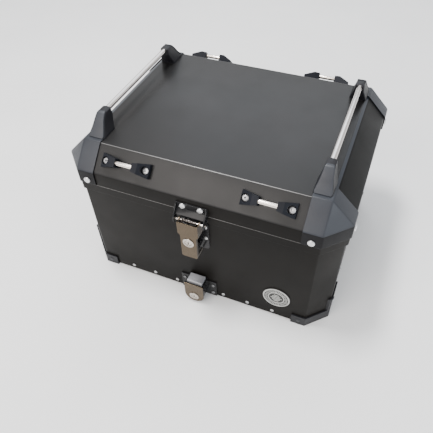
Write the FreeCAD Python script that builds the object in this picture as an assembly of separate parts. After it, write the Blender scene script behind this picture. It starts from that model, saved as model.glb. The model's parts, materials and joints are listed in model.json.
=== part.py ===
import FreeCAD, Part

import math
import os

# Motorcycle top case: a folded aluminium box with a hinged lid, moulded corner caps and
# guards, a key hasp on the front and a push-button dock release under it.
# Millimetres, +Z up, the front with the two locks faces -Y, origin at the middle of the
# plane that the four bottom guards stand on.

V = FreeCAD.Vector

# ---- driving dimensions -------------------------------------------------------------
CASE_W = 430.0            # over the corner caps, along X
CASE_D = 344.0            # over the corner caps, along Y
CORNER_LEG = 33.0         # corner chamfer leg in plan, and run of the sloping lid edges
LID_RISE = 33.0           # height of the sloping lid edges
SKIRT_H = 23.2            # upright lid skirt below the slope
WALL_H = 192.4            # floor underside to the top of the rim frame
FOOT_H = 2.5              # bottom guards below the floor
PARTING = 1.2             # gap between rim frame and lid
CAP_T = 1.8               # moulded cap thickness, proud of the lid sheet
WALL_SET = 3.2            # rim frame and lid sheet proud of the body wall
WALL_T = 1.5              # folded body sheet
LID_T = 2.0               # folded lid sheet
FLOOR_T = 2.0
FLOOR_FLANGE = 13.0       # upstand of the floor tray inside the wall
RIM_H = 14.0
RIM_WEB = 2.0             # top web of the rim frame
SEAL_H = 3.4
SEAL_W = 4.0
CAP_LAP = 27.0            # how far a lid cap runs past the corner crease
GUARD_T = 2.6             # bottom guard thickness
GUARD_H = 20.0
GUARD_LAP = 24.0          # guard on the front or rear wall, past the chamfer crease
GUARD_EAR = 50.0          # height of the guard's ear on the side wall
GUARD_EAR_L = 26.0        # length of the ear along the side wall
GUARD_SIDE_L = 58.0       # length of the guard on the side wall
GUARD_EAR_TOP = 15.6      # straight top of the ear
GUARD_EAR_ROOT = 8.0      # ear's slanted edge ends this far above the low band
EAR_RIVET_SET = 14.0      # ear's rivet below its top

RIVET_HEAD_R = 3.0
RIVET_HEAD_H = 1.2
RIVET_R = 1.6
RIVET_PITCH = 42.0
RIVET_Z = 8.0             # bottom rivets above the floor underside
DRILL_GAP = 0.1           # radial gap of a drilled hole round its rivet or screw

POST_BASE_W = 26.0
POST_HEAD_W = 13.0
POST_H = 29.0
POST_FOOT_L = 34.0        # along the rail
POST_HEAD_L = 17.0
POST_HEAD_H = 11.0
POST_WAIST_IN = 1.5       # waist narrower than halfway between foot and head
POST_WAIST_Z = 0.45       # its height as a share of the post's
POST_LIP = 3.0
POST_SET = 5.0            # outer foot behind the lid fold
COVER_T = 2.4
COVER_MARGIN = 1.0
RAIL_R = 4.0
RAIL_Z = 24.2             # rail axis above the top of the caps
RAIL_PLUG = 9.0
RAIL_SET = 15.4           # rail axis inside the side fold

LOOP_CAP_GAP = 12.5       # end of a tie-down loop inside the corner cap's edge
LOOP_L = 75.0
LOOP_W = 21.0
LOOP_BOSS_W = 12.0
LOOP_FOOT_L = 24.5
LOOP_EDGE_H = 6.5
LOOP_BOSS_H = 14.5
LOOP_BOSS_L = 8.6
LOOP_PLUG = 6.0           # depth of the rod's socket in the boss
LOOP_ROD_R = 3.2
LOOP_ROD_N = 10.0         # rod axis above the sheet
LOOP_POCKET = 3.0         # floor of the screw pocket
LOOP_POCKET_GAP = 1.2     # round the screw's head
LOOP_SCREW_PITCH = 62.5

HINGE_CAP_GAP = 25.0      # end of the hinge inside the corner caps' edges
HINGE_KNUCKLES = 7
HINGE_LEAF_T = 2.0
HINGE_LEAF_H = 17.0
HINGE_R = 3.4
HINGE_PIN_R = 1.6
HINGE_OUT = 4.2           # pin axis behind the lid sheet
BODY_RIVET_RISE = 4.5     # body leaf's rivets above the rim frame's lower edge
PIN_FIT = 0.05            # radial running clearance of pins and plugs

HASP_DROP = 9.6           # hasp pin below the lid's lower edge
HASP_OUT = 10.8           # hasp pin axis in front of the lid sheet
HASP_PIN_R = 1.75
HASP_PIN_PROUD = 1.0      # pin past the bracket's ears
HASP_W = 48.0             # bracket over its ears
HASP_T = 2.0              # bracket sheet
HASP_PLATE_H = 13.9       # bracket plate above the lid's lower edge
HASP_CREASE = 0.8         # where its hood starts, above the same edge
HASP_SCREW_X = 13.5
HASP_SCREW_RISE = 8.9
HOOD_RISE = 5.4           # underside of the hood's nose above the pin axis
HOOD_NOSE = 1.5           # the nose ends this far behind the pin axis
HOOD_T = 2.4              # where the hood leaves the plate
EAR_DROP = 4.0            # bracket ear below the pin axis
EAR_REACH = 5.0           # bracket ear in front of the pin axis
EAR_SET = 2.0             # ear's upper corner below the plate's top
FLAP_T = 1.5
FLAP_OUT = 9.0            # flap face in front of the hasp pin
FLAP_RISE = 2.5           # flap's top edge above the pin axis
FLAP_SHOULDER = 21.5      # where the flap narrows, below the pin axis
FLAP_L = 68.5             # flap's lower edge below the pin axis
FLAP_W_TOP = 32.0
FLAP_W_LOW = 25.0
FLAP_CORNER = 2.0         # cut lower corners, and half the height of the shoulder
FLAP_EAR_R = 4.0          # flap's eye round the pin
FLAP_WALL = 3.0           # depth of the side wall beside the key
FLAP_WALL_PAST = 2.0      # full side wall behind the pin axis
KEY_DROP = 35.5           # key axis below the hasp pin
KEY_FLANGE_R = 8.7
KEY_FLANGE_T = 1.5
KEY_BARREL_R = 7.4
KEY_PLUG_R = 5.4
KEY_PLUG_PROUD = 1.2      # plug face in front of its plate
KEYWAY_W = 1.2
KEYWAY_H = 7.2
KEYWAY_DEEP = 8.0
CAM_L = 15.0
CAM_T = 2.0
CAM_W = 8.0
CAM_BACK = 6.0            # cam's front face in front of the hasp's base plate
CATCH_W = 18.0
CATCH_DROP = 10.0         # catch's top edge below the key axis
CATCH_H = 15.0
CATCH_T = 2.0
CATCH_GAP = 0.6           # cam behind the catch's front plate
CATCH_CHEEK = 5.0         # cheeks end this far below the catch's top edge
HASP_BASE_W = 46.0
HASP_BASE_H = 56.0
HASP_BASE_DROP = 8.5      # base plate's top edge below the hasp pin
HASP_BASE_T = 2.0
HASP_BASE_ROUND = 6.0
HASP_SPRING_L = 24.0
HASP_SPRING_WIRE = 0.6
HASP_SPRING_GAP = 1.0     # wire's middle outside the pin
HASP_SPRING_TURNS = 12

RELEASE_W = 33.0
RELEASE_H = 42.5          # top of the front plate above the floor underside
RELEASE_UNDER = 1.0       # bottom of the front plate below the floor underside
RELEASE_D = 23.0          # front plate in front of the body wall
RELEASE_PLATE_T = 1.5
RELEASE_BASE_W = 62.0
RELEASE_BASE_H = 35.5
RELEASE_WALL = 2.0
RELEASE_EDGE = 1.0        # housing inside the front plate's outline
RELEASE_KEY_H = 13.0      # key axis above the floor underside
RELEASE_FLANGE_R = 8.2
RELEASE_BARREL_R = 6.8
RELEASE_BARREL_L = 9.0
RELEASE_PLUG_R = 5.0
SHELF_H = 23.5            # spring shelf above the floor underside
SHELF_T = 2.0
BUTTON_H = 10.0
BUTTON_TRAVEL = 4.0
BUTTON_GAP = 0.4
BUTTON_CHAMFER = 1.2
SPRING_R = 3.2
SPRING_WIRE = 0.5
SPRING_TURNS = 5
TONGUE_W = 18.0
TONGUE_T = 1.4
TONGUE_REACH = 10.0       # under the floor
TONGUE_UNDER = 1.9        # tongue's underside below the floor underside
TONGUE_H = 21.5           # top of its leg above the floor underside
TONGUE_LEG = 14.5         # leg behind the front plate
TONGUE_GAP = 0.5
MOUTH_H = 6.5             # the mouth for the tongue above the floor underside
MOUTH_GAP = 1.5

BADGE_SET = 51.0          # badge's middle inside the side fold
BADGE_H = 48.5            # and above the floor underside
BADGE_R = 22.0
BADGE_T = 2.0
BADGE_BEVEL = 0.4         # bevel as a share of its thickness

BOLT_X = 160.0            # bolt pattern for a carrier plate
BOLT_Y = 120.0
BOLT_R = 3.3
SLOT_X = 70.0             # dock slots for the carrier's hooks
SLOT_SET = 54.0           # their middle in front of the rear face
SLOT_L = 40.0
SLOT_W = 12.0
SLOT_FRAME = 9.0
SLOT_FRAME_T = 1.5
MAT_T = 3.0
MAT_GAP = 2.0

# ---- worked-out places --------------------------------------------------------------
HALF_W = CASE_W / 2
HALF_D = CASE_D / 2
SHEET_SET = CAP_T                       # lid sheet and rim, inside the cap's outer face
WALL_OUT = SHEET_SET + WALL_SET         # body wall's outer face
WALL_IN = WALL_OUT + WALL_T
FLOOR_Z = FOOT_H
RIM_TOP = FLOOR_Z + WALL_H
LID_Z = RIM_TOP + PARTING
SLOPE_Z = LID_Z + SKIRT_H
TOP_Z = SLOPE_Z + LID_RISE
SLOPE_DEG = math.degrees(math.atan2(LID_RISE, CORNER_LEG))
FRONT_SHEET = -(HALF_D - SHEET_SET)     # Y of the lid skirt's outer face
FRONT_WALL = -(HALF_D - WALL_OUT)       # Y of the body wall's outer face
SHEET_TOP_Z = TOP_Z - SHEET_SET
TOP_HALF_W = HALF_W - CORNER_LEG
TOP_HALF_D = HALF_D - CORNER_LEG
RAIL_X = TOP_HALF_W - RAIL_SET
RAIL_AXIS_Z = TOP_Z + RAIL_Z
CAP_EDGE = TOP_HALF_W - CAP_LAP         # X of a corner cap's inner edge
LOOP_X = CAP_EDGE - LOOP_CAP_GAP - LOOP_L / 2
HINGE_L = 2 * (CAP_EDGE - HINGE_CAP_GAP)
HASP_Z = LID_Z - HASP_DROP
HASP_TOP = LID_Z + HASP_PLATE_H
HASP_SCREW_Z = LID_Z + HASP_SCREW_RISE
FLAP_TOP = HASP_Z + FLAP_RISE
FLAP_STEP = HASP_Z - FLAP_SHOULDER
FLAP_BOTTOM = HASP_Z - FLAP_L
KEY_Z = HASP_Z - KEY_DROP
CATCH_TOP = KEY_Z - CATCH_DROP
CATCH_BOTTOM = CATCH_TOP - CATCH_H
HASP_BASE_TOP = HASP_Z - HASP_BASE_DROP
HASP_BASE_BOTTOM = HASP_BASE_TOP - HASP_BASE_H
RELEASE_TOP = FLOOR_Z + RELEASE_H
RELEASE_BOTTOM = FLOOR_Z - RELEASE_UNDER
RELEASE_BASE_TOP = FLOOR_Z + RELEASE_BASE_H
RELEASE_KEY_Z = FLOOR_Z + RELEASE_KEY_H
SHELF_Z = FLOOR_Z + SHELF_H
BADGE_X = TOP_HALF_W - BADGE_SET
BADGE_Z = FLOOR_Z + BADGE_H
SLOT_Y = HALF_D - SLOT_SET
BIG = 4 * (CASE_W + CASE_D)             # size of a cutting block
CORNERS = {"fl": (-1, 1), "fr": (1, 1), "rl": (-1, -1), "rr": (1, -1)}

parts = {}


# ---- building blocks ----------------------------------------------------------------
def block(x0, x1, y0, y1, z0, z1):
    return Part.makeBox(x1 - x0, y1 - y0, z1 - z0, V(x0, y0, z0))


def rod(start, end, radius):
    run = end - start
    return Part.makeCylinder(radius, run.Length, start, run)


def fused(shapes):
    whole = shapes[0]
    for piece in shapes[1:]:
        whole = whole.fuse(piece)
    return whole.removeSplitter()


def drilled(shape, tools):
    for tool in tools:
        shape = shape.cut(tool)
    return shape


def flip(shape, side, front):
    """Mirror a right front piece: side -1 puts it on the left, front -1 at the rear."""
    if side < 0:
        shape = shape.mirror(V(0, 0, 0), V(1, 0, 0))
    if front < 0:
        shape = shape.mirror(V(0, 0, 0), V(0, 1, 0))
    return shape


def polygon(points):
    return Part.Face(Part.makePolygon(points + [points[0]]))


def plan(inset, z):
    """The chamfered plan outline, moved in by inset on every side."""
    x = HALF_W - inset
    y = HALF_D - inset
    leg = CORNER_LEG - inset * (2 - math.sqrt(2))
    outline = [(x - leg, -y), (x, leg - y), (x, y - leg), (x - leg, y)]
    outline += [(-px, -py) for px, py in outline]
    return polygon([V(px, py, z) for px, py in outline])


def prism(inset, z0, z1):
    return plan(inset, z0).extrude(V(0, 0, z1 - z0))


def ring(outer, inner, z0, z1):
    return prism(outer, z0, z1).cut(prism(inner, z0, z1))


def trimmed(shape, normal, point):
    """Cut away what lies beyond the plane through point."""
    cutter = Part.makeBox(BIG, BIG, BIG, V(-BIG / 2, -BIG / 2, 0))
    turn = FreeCAD.Rotation(V(0, 0, 1), normal)
    cutter.Placement = FreeCAD.Placement(point, turn)
    return shape.cut(cutter)


def lid_block(inset, z0):
    """The lid's outer form as a solid, moved in by inset, from height z0 up."""
    shape = prism(inset, z0, TOP_Z - inset)
    rise, run = LID_RISE, CORNER_LEG
    apex = V(TOP_HALF_W, TOP_HALF_D, TOP_Z)
    for sx in (1, -1):
        side = V(sx * rise, 0, run).normalize()
        on_side = V(sx * apex.x, 0, apex.z) - side * inset
        shape = trimmed(shape, side, on_side)
    for sy in (1, -1):
        end = V(0, sy * rise, run).normalize()
        on_end = V(0, sy * apex.y, apex.z) - end * inset
        shape = trimmed(shape, end, on_end)
    for sx in (1, -1):
        for sy in (1, -1):
            facet = V(sx * rise, sy * rise, run).normalize()
            on_facet = V(sx * apex.x, sy * apex.y, apex.z) - facet * inset
            shape = trimmed(shape, facet, on_facet)
    return shape


def pan_screw(point, out, head_r, head_h, shank_r, shank_l):
    """A round-head screw whose head stands on point and looks along out."""
    head = Part.makeCylinder(head_r, head_h, point, out)
    crown = [e for e in head.Edges if e.Closed and (e.CenterOfMass - point).dot(out) > head_h / 2]
    head = head.makeFillet(head_h * 0.6, crown)
    socket = Part.makeCylinder(head_r * 0.35, head_h * 0.6, point + out * (head_h * 0.4), out)
    shank = Part.makeCylinder(shank_r, shank_l, point - out * shank_l, out)
    return fused([head.cut(socket), shank])


def dome_rivet(point, out, shank_l):
    head = Part.makeCone(RIVET_HEAD_R, RIVET_HEAD_R * 0.6, RIVET_HEAD_H, point, out)
    shank = Part.makeCylinder(RIVET_R, shank_l, point - out * shank_l, out)
    return fused([head, shank])


def hole(point, out, radius, depth, clear=2.0):
    return Part.makeCylinder(radius, depth + clear, point - out * depth, out)


# ---- body: folded wall, floor tray, rim frame -----------------------------------------
def rivet_places():
    """Bottom rivets: (point on the wall, outward direction)."""
    z = FLOOR_Z + RIVET_Z
    long_n = int((TOP_HALF_W - GUARD_LAP) // RIVET_PITCH)
    short_n = int((TOP_HALF_D - GUARD_SIDE_L) // RIVET_PITCH)
    places = []
    for k in range(-long_n, long_n + 1):
        places.append((V(k * RIVET_PITCH, -FRONT_WALL, z), V(0, 1, 0)))
        if abs(k * RIVET_PITCH) > RELEASE_BASE_W / 2 + RIVET_HEAD_R:
            places.append((V(k * RIVET_PITCH, FRONT_WALL, z), V(0, -1, 0)))
    for k in range(-short_n, short_n + 1):
        for sx in (1, -1):
            places.append((V(sx * (HALF_W - WALL_OUT), k * RIVET_PITCH, z), V(sx, 0, 0)))
    return places


def guard_rivet_places():
    z = FLOOR_Z + RIVET_Z
    places = []
    for side, front in CORNERS.values():
        x = side * (TOP_HALF_W - GUARD_LAP / 2)
        places.append((V(x, front * (FRONT_WALL - GUARD_T), z), V(0, -front, 0)))
        y = -front * (TOP_HALF_D - GUARD_EAR_L / 2)
        x = side * (HALF_W - WALL_OUT + GUARD_T)
        places.append((V(x, y, GUARD_EAR - EAR_RIVET_SET), V(side, 0, 0)))
    return places


HASP_RIVET_SET = 5.0      # base plate rivets inside its side edges
HASP_RIVET_TOP = 9.0      # upper pair below its top edge
HASP_RIVET_LOW = 24.0     # lower pair above its bottom edge
RELEASE_SCREW_SET = 6.0
RELEASE_SCREW_TOP = 9.0


def facing_front(half_pitch, y, heights):
    """Places of fasteners in pairs on the front: (point, outward direction)."""
    return [(V(sx * half_pitch, y, z), V(0, -1, 0)) for sx in (1, -1) for z in heights]


HASP_BASE_RIVETS = facing_front(
    HASP_BASE_W / 2 - HASP_RIVET_SET, FRONT_WALL - HASP_BASE_T,
    (HASP_BASE_TOP - HASP_RIVET_TOP, HASP_BASE_BOTTOM + HASP_RIVET_LOW))
RELEASE_SCREWS = facing_front(
    RELEASE_BASE_W / 2 - RELEASE_SCREW_SET, FRONT_WALL - RELEASE_WALL,
    (RELEASE_BASE_TOP - RELEASE_SCREW_TOP, FLOOR_Z + RIVET_Z))
WALL_DRILL = RIVET_R + DRILL_GAP
THROUGH = GUARD_T + WALL_T + 2 * FLOOR_T

rivet_tools = [hole(p, n, WALL_DRILL, THROUGH) for p, n in rivet_places()]
guard_tools = [hole(p, n, WALL_DRILL, THROUGH) for p, n in guard_rivet_places()]
lock_tools = [hole(p, n, WALL_DRILL, THROUGH) for p, n in HASP_BASE_RIVETS + RELEASE_SCREWS]

wall = ring(WALL_OUT, WALL_IN, FLOOR_Z, RIM_TOP - RIM_WEB)
parts["case_wall"] = drilled(wall, rivet_tools + guard_tools + lock_tools)

BOLT_PLACES = [V(sx * BOLT_X / 2, sy * BOLT_Y / 2, FLOOR_Z) for sx in (1, -1) for sy in (1, -1)]
FLOOR_IN = WALL_IN + FLOOR_T


def slot_block(grow, z0, z1):
    """The two dock slots as cutting blocks, grown by grow on every side."""
    half_l = SLOT_L / 2 + grow
    half_w = SLOT_W / 2 + grow
    return [
        block(sx * SLOT_X - half_l, sx * SLOT_X + half_l, SLOT_Y - half_w, SLOT_Y + half_w, z0, z1)
        for sx in (1, -1)
    ]


floor = prism(WALL_IN, FLOOR_Z, FLOOR_Z + FLOOR_T)
floor = floor.fuse(ring(WALL_IN, FLOOR_IN, FLOOR_Z + FLOOR_T, FLOOR_Z + FLOOR_T + FLOOR_FLANGE))
floor = drilled(floor, rivet_tools + guard_tools + lock_tools)
floor = drilled(floor, slot_block(0, 0, FLOOR_Z + FLOOR_T + 1))
floor = drilled(floor, [hole(p, V(0, 0, 1), BOLT_R, 1, FLOOR_T + 1) for p in BOLT_PLACES])
parts["floor_tray"] = floor.removeSplitter()

INSIDE_Z = FLOOR_Z + FLOOR_T
frames = []
outer_frames = slot_block(SLOT_FRAME, INSIDE_Z, INSIDE_Z + SLOT_FRAME_T)
inner_frames = slot_block(0, INSIDE_Z, INSIDE_Z + SLOT_FRAME_T)
for outer_frame, inner_frame in zip(outer_frames, inner_frames):
    frames.append(outer_frame.cut(inner_frame))
parts["dock_slot_frames"] = Part.makeCompound(frames)

mat = prism(FLOOR_IN + MAT_GAP, INSIDE_Z, INSIDE_Z + MAT_T)
mat = drilled(mat, slot_block(SLOT_FRAME + MAT_GAP, INSIDE_Z - 1, INSIDE_Z + MAT_T + 1))
mat = drilled(mat, [hole(p, V(0, 0, 1), 3 * BOLT_R, 0, INSIDE_Z + MAT_T) for p in BOLT_PLACES])
parts["floor_mat"] = mat

band = ring(SHEET_SET, WALL_OUT, RIM_TOP - RIM_H, RIM_TOP - RIM_WEB)
web = ring(SHEET_SET, WALL_IN + WALL_T, RIM_TOP - RIM_WEB, RIM_TOP)
leg = ring(WALL_IN, WALL_IN + WALL_T, RIM_TOP - RIM_H, RIM_TOP - RIM_WEB)
parts["rim_frame"] = fused([web, band, leg])

parts["wall_rivets"] = Part.makeCompound([dome_rivet(p, n, WALL_T + FLOOR_T) for p, n in rivet_places()])


# ---- bottom corner guards -------------------------------------------------------------
def corner_guard():
    """Right front guard: a moulded cup round the bottom corner, with an ear on the side."""
    outer = WALL_OUT - GUARD_T
    shell = prism(outer, 0, GUARD_EAR).cut(prism(WALL_OUT, FLOOR_Z, GUARD_EAR))
    shell = shell.cut(prism(WALL_IN + CORNER_LEG / 2, 0, FLOOR_Z))
    x_start = TOP_HALF_W - GUARD_LAP
    y_end = GUARD_SIDE_L - TOP_HALF_D
    low = block(x_start, HALF_W, -HALF_D, y_end, 0, GUARD_H)
    ear_side = -TOP_HALF_D
    ear_points = [
        V(0, ear_side - GUARD_T, GUARD_H - 1), V(0, ear_side - GUARD_T, GUARD_EAR),
        V(0, ear_side + GUARD_EAR_TOP, GUARD_EAR), V(0, ear_side + GUARD_EAR_L, GUARD_H + GUARD_EAR_ROOT),
        V(0, ear_side + GUARD_EAR_L + GUARD_EAR_ROOT, GUARD_H - 1),
    ]
    ear = polygon(ear_points).extrude(V(HALF_W, 0, 0))
    return shell.common(fused([low, ear]))


guard = corner_guard()
for corner, (side, front) in CORNERS.items():
    parts["corner_guard_" + corner] = drilled(flip(guard, side, front), guard_tools)
parts["guard_rivets"] = Part.makeCompound(
    [dome_rivet(p, n, GUARD_T + WALL_T) for p, n in guard_rivet_places()])

badge = Part.makeCylinder(BADGE_R, BADGE_T, V(BADGE_X, FRONT_WALL, BADGE_Z), V(0, -1, 0))
rim_edge = [e for e in badge.Edges if e.Closed and e.CenterOfMass.y < FRONT_WALL - BADGE_T / 2]
parts["badge"] = badge.makeChamfer(BADGE_T * BADGE_BEVEL, rim_edge)

# ---- lid: sheet, caps, seal -----------------------------------------------------------
SEAL_SET = SHEET_SET + LID_T
SCREW_HEAD_R = 5.0
SCREW_HEAD_H = 2.4
SCREW_R = 2.0
CAP_SCREW_RISE = 7.0                    # cap screws above the lid's lower edge
CAP_SCREW_Z = LID_Z + CAP_SCREW_RISE


def cap_screw_places():
    places = []
    for side, front in CORNERS.values():
        x = side * (TOP_HALF_W - CAP_LAP / 2)
        places.append((V(x, -front * HALF_D, CAP_SCREW_Z), V(0, -front, 0)))
        y = -front * (TOP_HALF_D - CAP_LAP / 2)
        places.append((V(side * HALF_W, y, CAP_SCREW_Z), V(side, 0, 0)))
    return places


SCREW_DRILL = SCREW_R + DRILL_GAP
cap_tools = [hole(p, n, SCREW_DRILL, CAP_T + LID_T + 1) for p, n in cap_screw_places()]
parts["cap_screws"] = Part.makeCompound([
    pan_screw(p, n, SCREW_HEAD_R, SCREW_HEAD_H, SCREW_R, CAP_T + LID_T) for p, n in cap_screw_places()])

cap_block = lid_block(0, LID_Z)
sheet_block = lid_block(SHEET_SET, LID_Z)
inner_block = lid_block(SHEET_SET + LID_T, LID_Z)

cap_shell = cap_block.cut(sheet_block)
for corner, (side, front) in CORNERS.items():
    region = block(TOP_HALF_W - CAP_LAP, HALF_W, -HALF_D, CAP_LAP - TOP_HALF_D, LID_Z, TOP_Z)
    cap = cap_shell.common(flip(region, side, front))
    parts["lid_cap_" + corner] = drilled(cap, cap_tools)

parts["lid_seal"] = ring(SEAL_SET, SEAL_SET + SEAL_W, LID_Z - PARTING / 2, LID_Z + SEAL_H)

# ---- roof rails -------------------------------------------------------------------------
POST_Y0 = -(TOP_HALF_D - POST_SET)
HEAD_Y0 = POST_Y0 + POST_FOOT_L - POST_HEAD_L + RAIL_PLUG
HEAD_Y1 = HEAD_Y0 + POST_HEAD_L
HEAD_BOTTOM = POST_H - POST_HEAD_H


def post_outline():
    """Front view of a post, narrow at the head and flaring to its foot."""
    base, head = POST_BASE_W / 2, POST_HEAD_W / 2
    waist = (base + head) / 2 - POST_WAIST_IN
    x, foot, top_z = RAIL_X, SHEET_TOP_Z, TOP_Z + POST_H
    mid = foot + (top_z - foot) * POST_WAIST_Z
    curve_r = Part.Arc(V(x + base, 0, foot), V(x + waist, 0, mid), V(x + head, 0, top_z)).toShape()
    curve_l = Part.Arc(V(x - head, 0, top_z), V(x - waist, 0, mid), V(x - base, 0, foot)).toShape()
    top = Part.makeLine(V(x + head, 0, top_z), V(x - head, 0, top_z))
    bottom = Part.makeLine(V(x - base, 0, foot), V(x + base, 0, foot))
    face = Part.Face(Part.Wire([curve_r, top, curve_l, bottom]))
    return face.extrude(V(0, -HALF_D, 0))


def post_side(slope_in):
    """Side view of a post as a solid right across it; slope_in moves its slope back."""
    z = TOP_Z
    slope_run = HEAD_Y0 - POST_Y0
    back = slope_in * math.hypot(slope_run, POST_H - POST_LIP) / (POST_H - POST_LIP)
    points = [
        V(0, POST_Y0 + back, SHEET_TOP_Z), V(0, POST_Y0 + back, z + POST_LIP),
        V(0, HEAD_Y0 + back, z + POST_H), V(0, HEAD_Y1, z + POST_H),
        V(0, HEAD_Y1, z + HEAD_BOTTOM), V(0, POST_Y0 + POST_FOOT_L, SHEET_TOP_Z),
    ]
    return polygon(points).extrude(V(HALF_W, 0, 0))


whole_post = post_side(0).common(post_outline())
post_body = post_side(COVER_T).common(post_outline())
cover = whole_post.cut(post_side(COVER_T))
cover = cover.cut(block(0, HALF_W, -HALF_D, 0, SHEET_TOP_Z, TOP_Z + COVER_MARGIN))
rail_hole = rod(V(RAIL_X, HEAD_Y1 - RAIL_PLUG, RAIL_AXIS_Z), V(RAIL_X, 0, RAIL_AXIS_Z), RAIL_R + DRILL_GAP)
post_body = post_body.cut(rail_hole).cut(parts["lid_cap_fr"])
for corner, (side, front) in CORNERS.items():
    parts["rail_post_" + corner] = flip(post_body, side, front)
    parts["post_cover_" + corner] = flip(cover, side, front)
for name, side in (("left", -1), ("right", 1)):
    start = V(side * RAIL_X, HEAD_Y1 - RAIL_PLUG + 1, RAIL_AXIS_Z)
    end = V(start.x, -start.y, start.z)
    parts["roof_rail_" + name] = rod(start, end, RAIL_R)

# ---- tie-down loops on the front and rear slopes ---------------------------------------
SLOPE_MID = V(0, -(HALF_D + TOP_HALF_D) / 2, (SLOPE_Z + TOP_Z) / 2)
SLOPE_TURN = FreeCAD.Rotation(V(1, 0, 0), SLOPE_DEG)
SLOPE_OUT = SLOPE_TURN.multVec(V(0, 0, 1))
LOOP_BASE = SLOPE_MID - SLOPE_OUT * SHEET_SET
LOOP_SCREW_R = 2.0
LOOP_HEAD_R = 4.7
LOOP_HEAD_H = 2.6


def on_slope(shape, x):
    """Put a shape drawn flat, X along the case and Z out of the sheet, on the front slope."""
    moved = shape.copy()
    moved.Placement = FreeCAD.Placement(LOOP_BASE + V(x, 0, 0), SLOPE_TURN).multiply(moved.Placement)
    return moved


def loop_foot():
    """The foot at the loop's +X end: a wedge with a boss for the rod and a screw pocket."""
    x1 = LOOP_L / 2
    x0 = x1 - LOOP_FOOT_L
    half, boss = LOOP_W / 2, LOOP_BOSS_W / 2
    outline = polygon([V(x1, -half, 0), V(x1, half, 0), V(x0, boss, 0), V(x0, -boss, 0)])
    prism_up = outline.extrude(V(0, 0, LOOP_BOSS_H))
    side_view = polygon([
        V(x0, -half, 0), V(x1, -half, 0), V(x1, -half, LOOP_EDGE_H),
        V(x0 + LOOP_BOSS_L, -half, LOOP_BOSS_H), V(x0, -half, LOOP_BOSS_H)])
    foot = prism_up.common(side_view.extrude(V(0, LOOP_W, 0)))
    pocket_r = LOOP_HEAD_R + LOOP_POCKET_GAP
    screw_x = LOOP_SCREW_PITCH / 2
    foot = foot.cut(Part.makeCylinder(pocket_r, LOOP_BOSS_H, V(screw_x, 0, LOOP_POCKET)))
    foot = foot.cut(Part.makeCylinder(LOOP_SCREW_R + DRILL_GAP, LOOP_BOSS_H, V(screw_x, 0, 0)))
    rod_hole = rod(V(x0 - 1, 0, LOOP_ROD_N), V(x0 + LOOP_PLUG, 0, LOOP_ROD_N), LOOP_ROD_R + DRILL_GAP)
    return foot.cut(rod_hole)


foot_right = loop_foot()
foot_left = foot_right.mirror(V(0, 0, 0), V(1, 0, 0))
feet = Part.makeCompound([foot_right, foot_left])
half_rod = LOOP_L / 2 - LOOP_FOOT_L + LOOP_PLUG - 5 * DRILL_GAP
loop_rod = rod(V(-half_rod, 0, LOOP_ROD_N), V(half_rod, 0, LOOP_ROD_N), LOOP_ROD_R)
loop_screws = [
    pan_screw(V(sx * LOOP_SCREW_PITCH / 2, 0, LOOP_POCKET), V(0, 0, 1), LOOP_HEAD_R, LOOP_HEAD_H,
              LOOP_SCREW_R, LOOP_POCKET + LID_T)
    for sx in (1, -1)
]
loop_drill = [
    Part.makeCylinder(LOOP_SCREW_R + DRILL_GAP, 4 * LID_T, V(sx * LOOP_SCREW_PITCH / 2, 0, -2 * LID_T))
    for sx in (1, -1)
]
loop_rods = []
all_loop_screws = []
loop_holes = []
for corner, (side, front) in CORNERS.items():
    place = side * LOOP_X
    parts["loop_feet_" + corner] = flip(on_slope(feet, place), 1, front)
    loop_rods.append(flip(on_slope(loop_rod, place), 1, front))
    all_loop_screws += [flip(on_slope(s, place), 1, front) for s in loop_screws]
    loop_holes += [flip(on_slope(h, place), 1, front) for h in loop_drill]
parts["loop_rods"] = Part.makeCompound(loop_rods)
parts["loop_screws"] = Part.makeCompound(all_loop_screws)

# ---- rear hinge -------------------------------------------------------------------------
REAR_SHEET = -FRONT_SHEET
AXIS_Y = REAR_SHEET + HINGE_OUT
AXIS_Z = (RIM_TOP + LID_Z) / 2
HINGE_GAP = 0.4                         # between knuckles
HINGE_END = 0.5                         # pin short of the outer knuckles' ends
HINGE_RIVETS = 5


def hinge_leaf(up, first):
    """A leaf with every second knuckle; up is 1 for the lid's leaf, -1 for the body's."""
    near = AXIS_Z + up * (HINGE_R - HINGE_GAP)
    far = near + up * HINGE_LEAF_H
    low, high = min(near, far), max(near, far)
    if up < 0:
        low = max(low, RIM_TOP - RIM_H)
    pieces = [block(-HINGE_L / 2, HINGE_L / 2, REAR_SHEET, REAR_SHEET + HINGE_LEAF_T, low, high)]
    pitch = HINGE_L / HINGE_KNUCKLES
    for k in range(first, HINGE_KNUCKLES, 2):
        x0 = -HINGE_L / 2 + k * pitch + HINGE_GAP / 2
        x1 = x0 + pitch - HINGE_GAP
        pieces.append(rod(V(x0, AXIS_Y, AXIS_Z), V(x1, AXIS_Y, AXIS_Z), HINGE_R))
        web_z = sorted((AXIS_Z, near + up))
        pieces.append(block(x0, x1, AXIS_Y - HINGE_R, REAR_SHEET + HINGE_LEAF_T, *web_z))
    leaf = fused(pieces)
    bore = HINGE_PIN_R + (PIN_FIT if up > 0 else 0)
    return leaf.cut(rod(V(-HINGE_L, AXIS_Y, AXIS_Z), V(HINGE_L, AXIS_Y, AXIS_Z), bore))


def hinge_rivet_places(z):
    step = (HINGE_L - RIVET_PITCH) / (HINGE_RIVETS - 1)
    first = (RIVET_PITCH - HINGE_L) / 2
    return [(V(first + k * step, REAR_SHEET + HINGE_LEAF_T, z), V(0, 1, 0)) for k in range(HINGE_RIVETS)]


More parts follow.
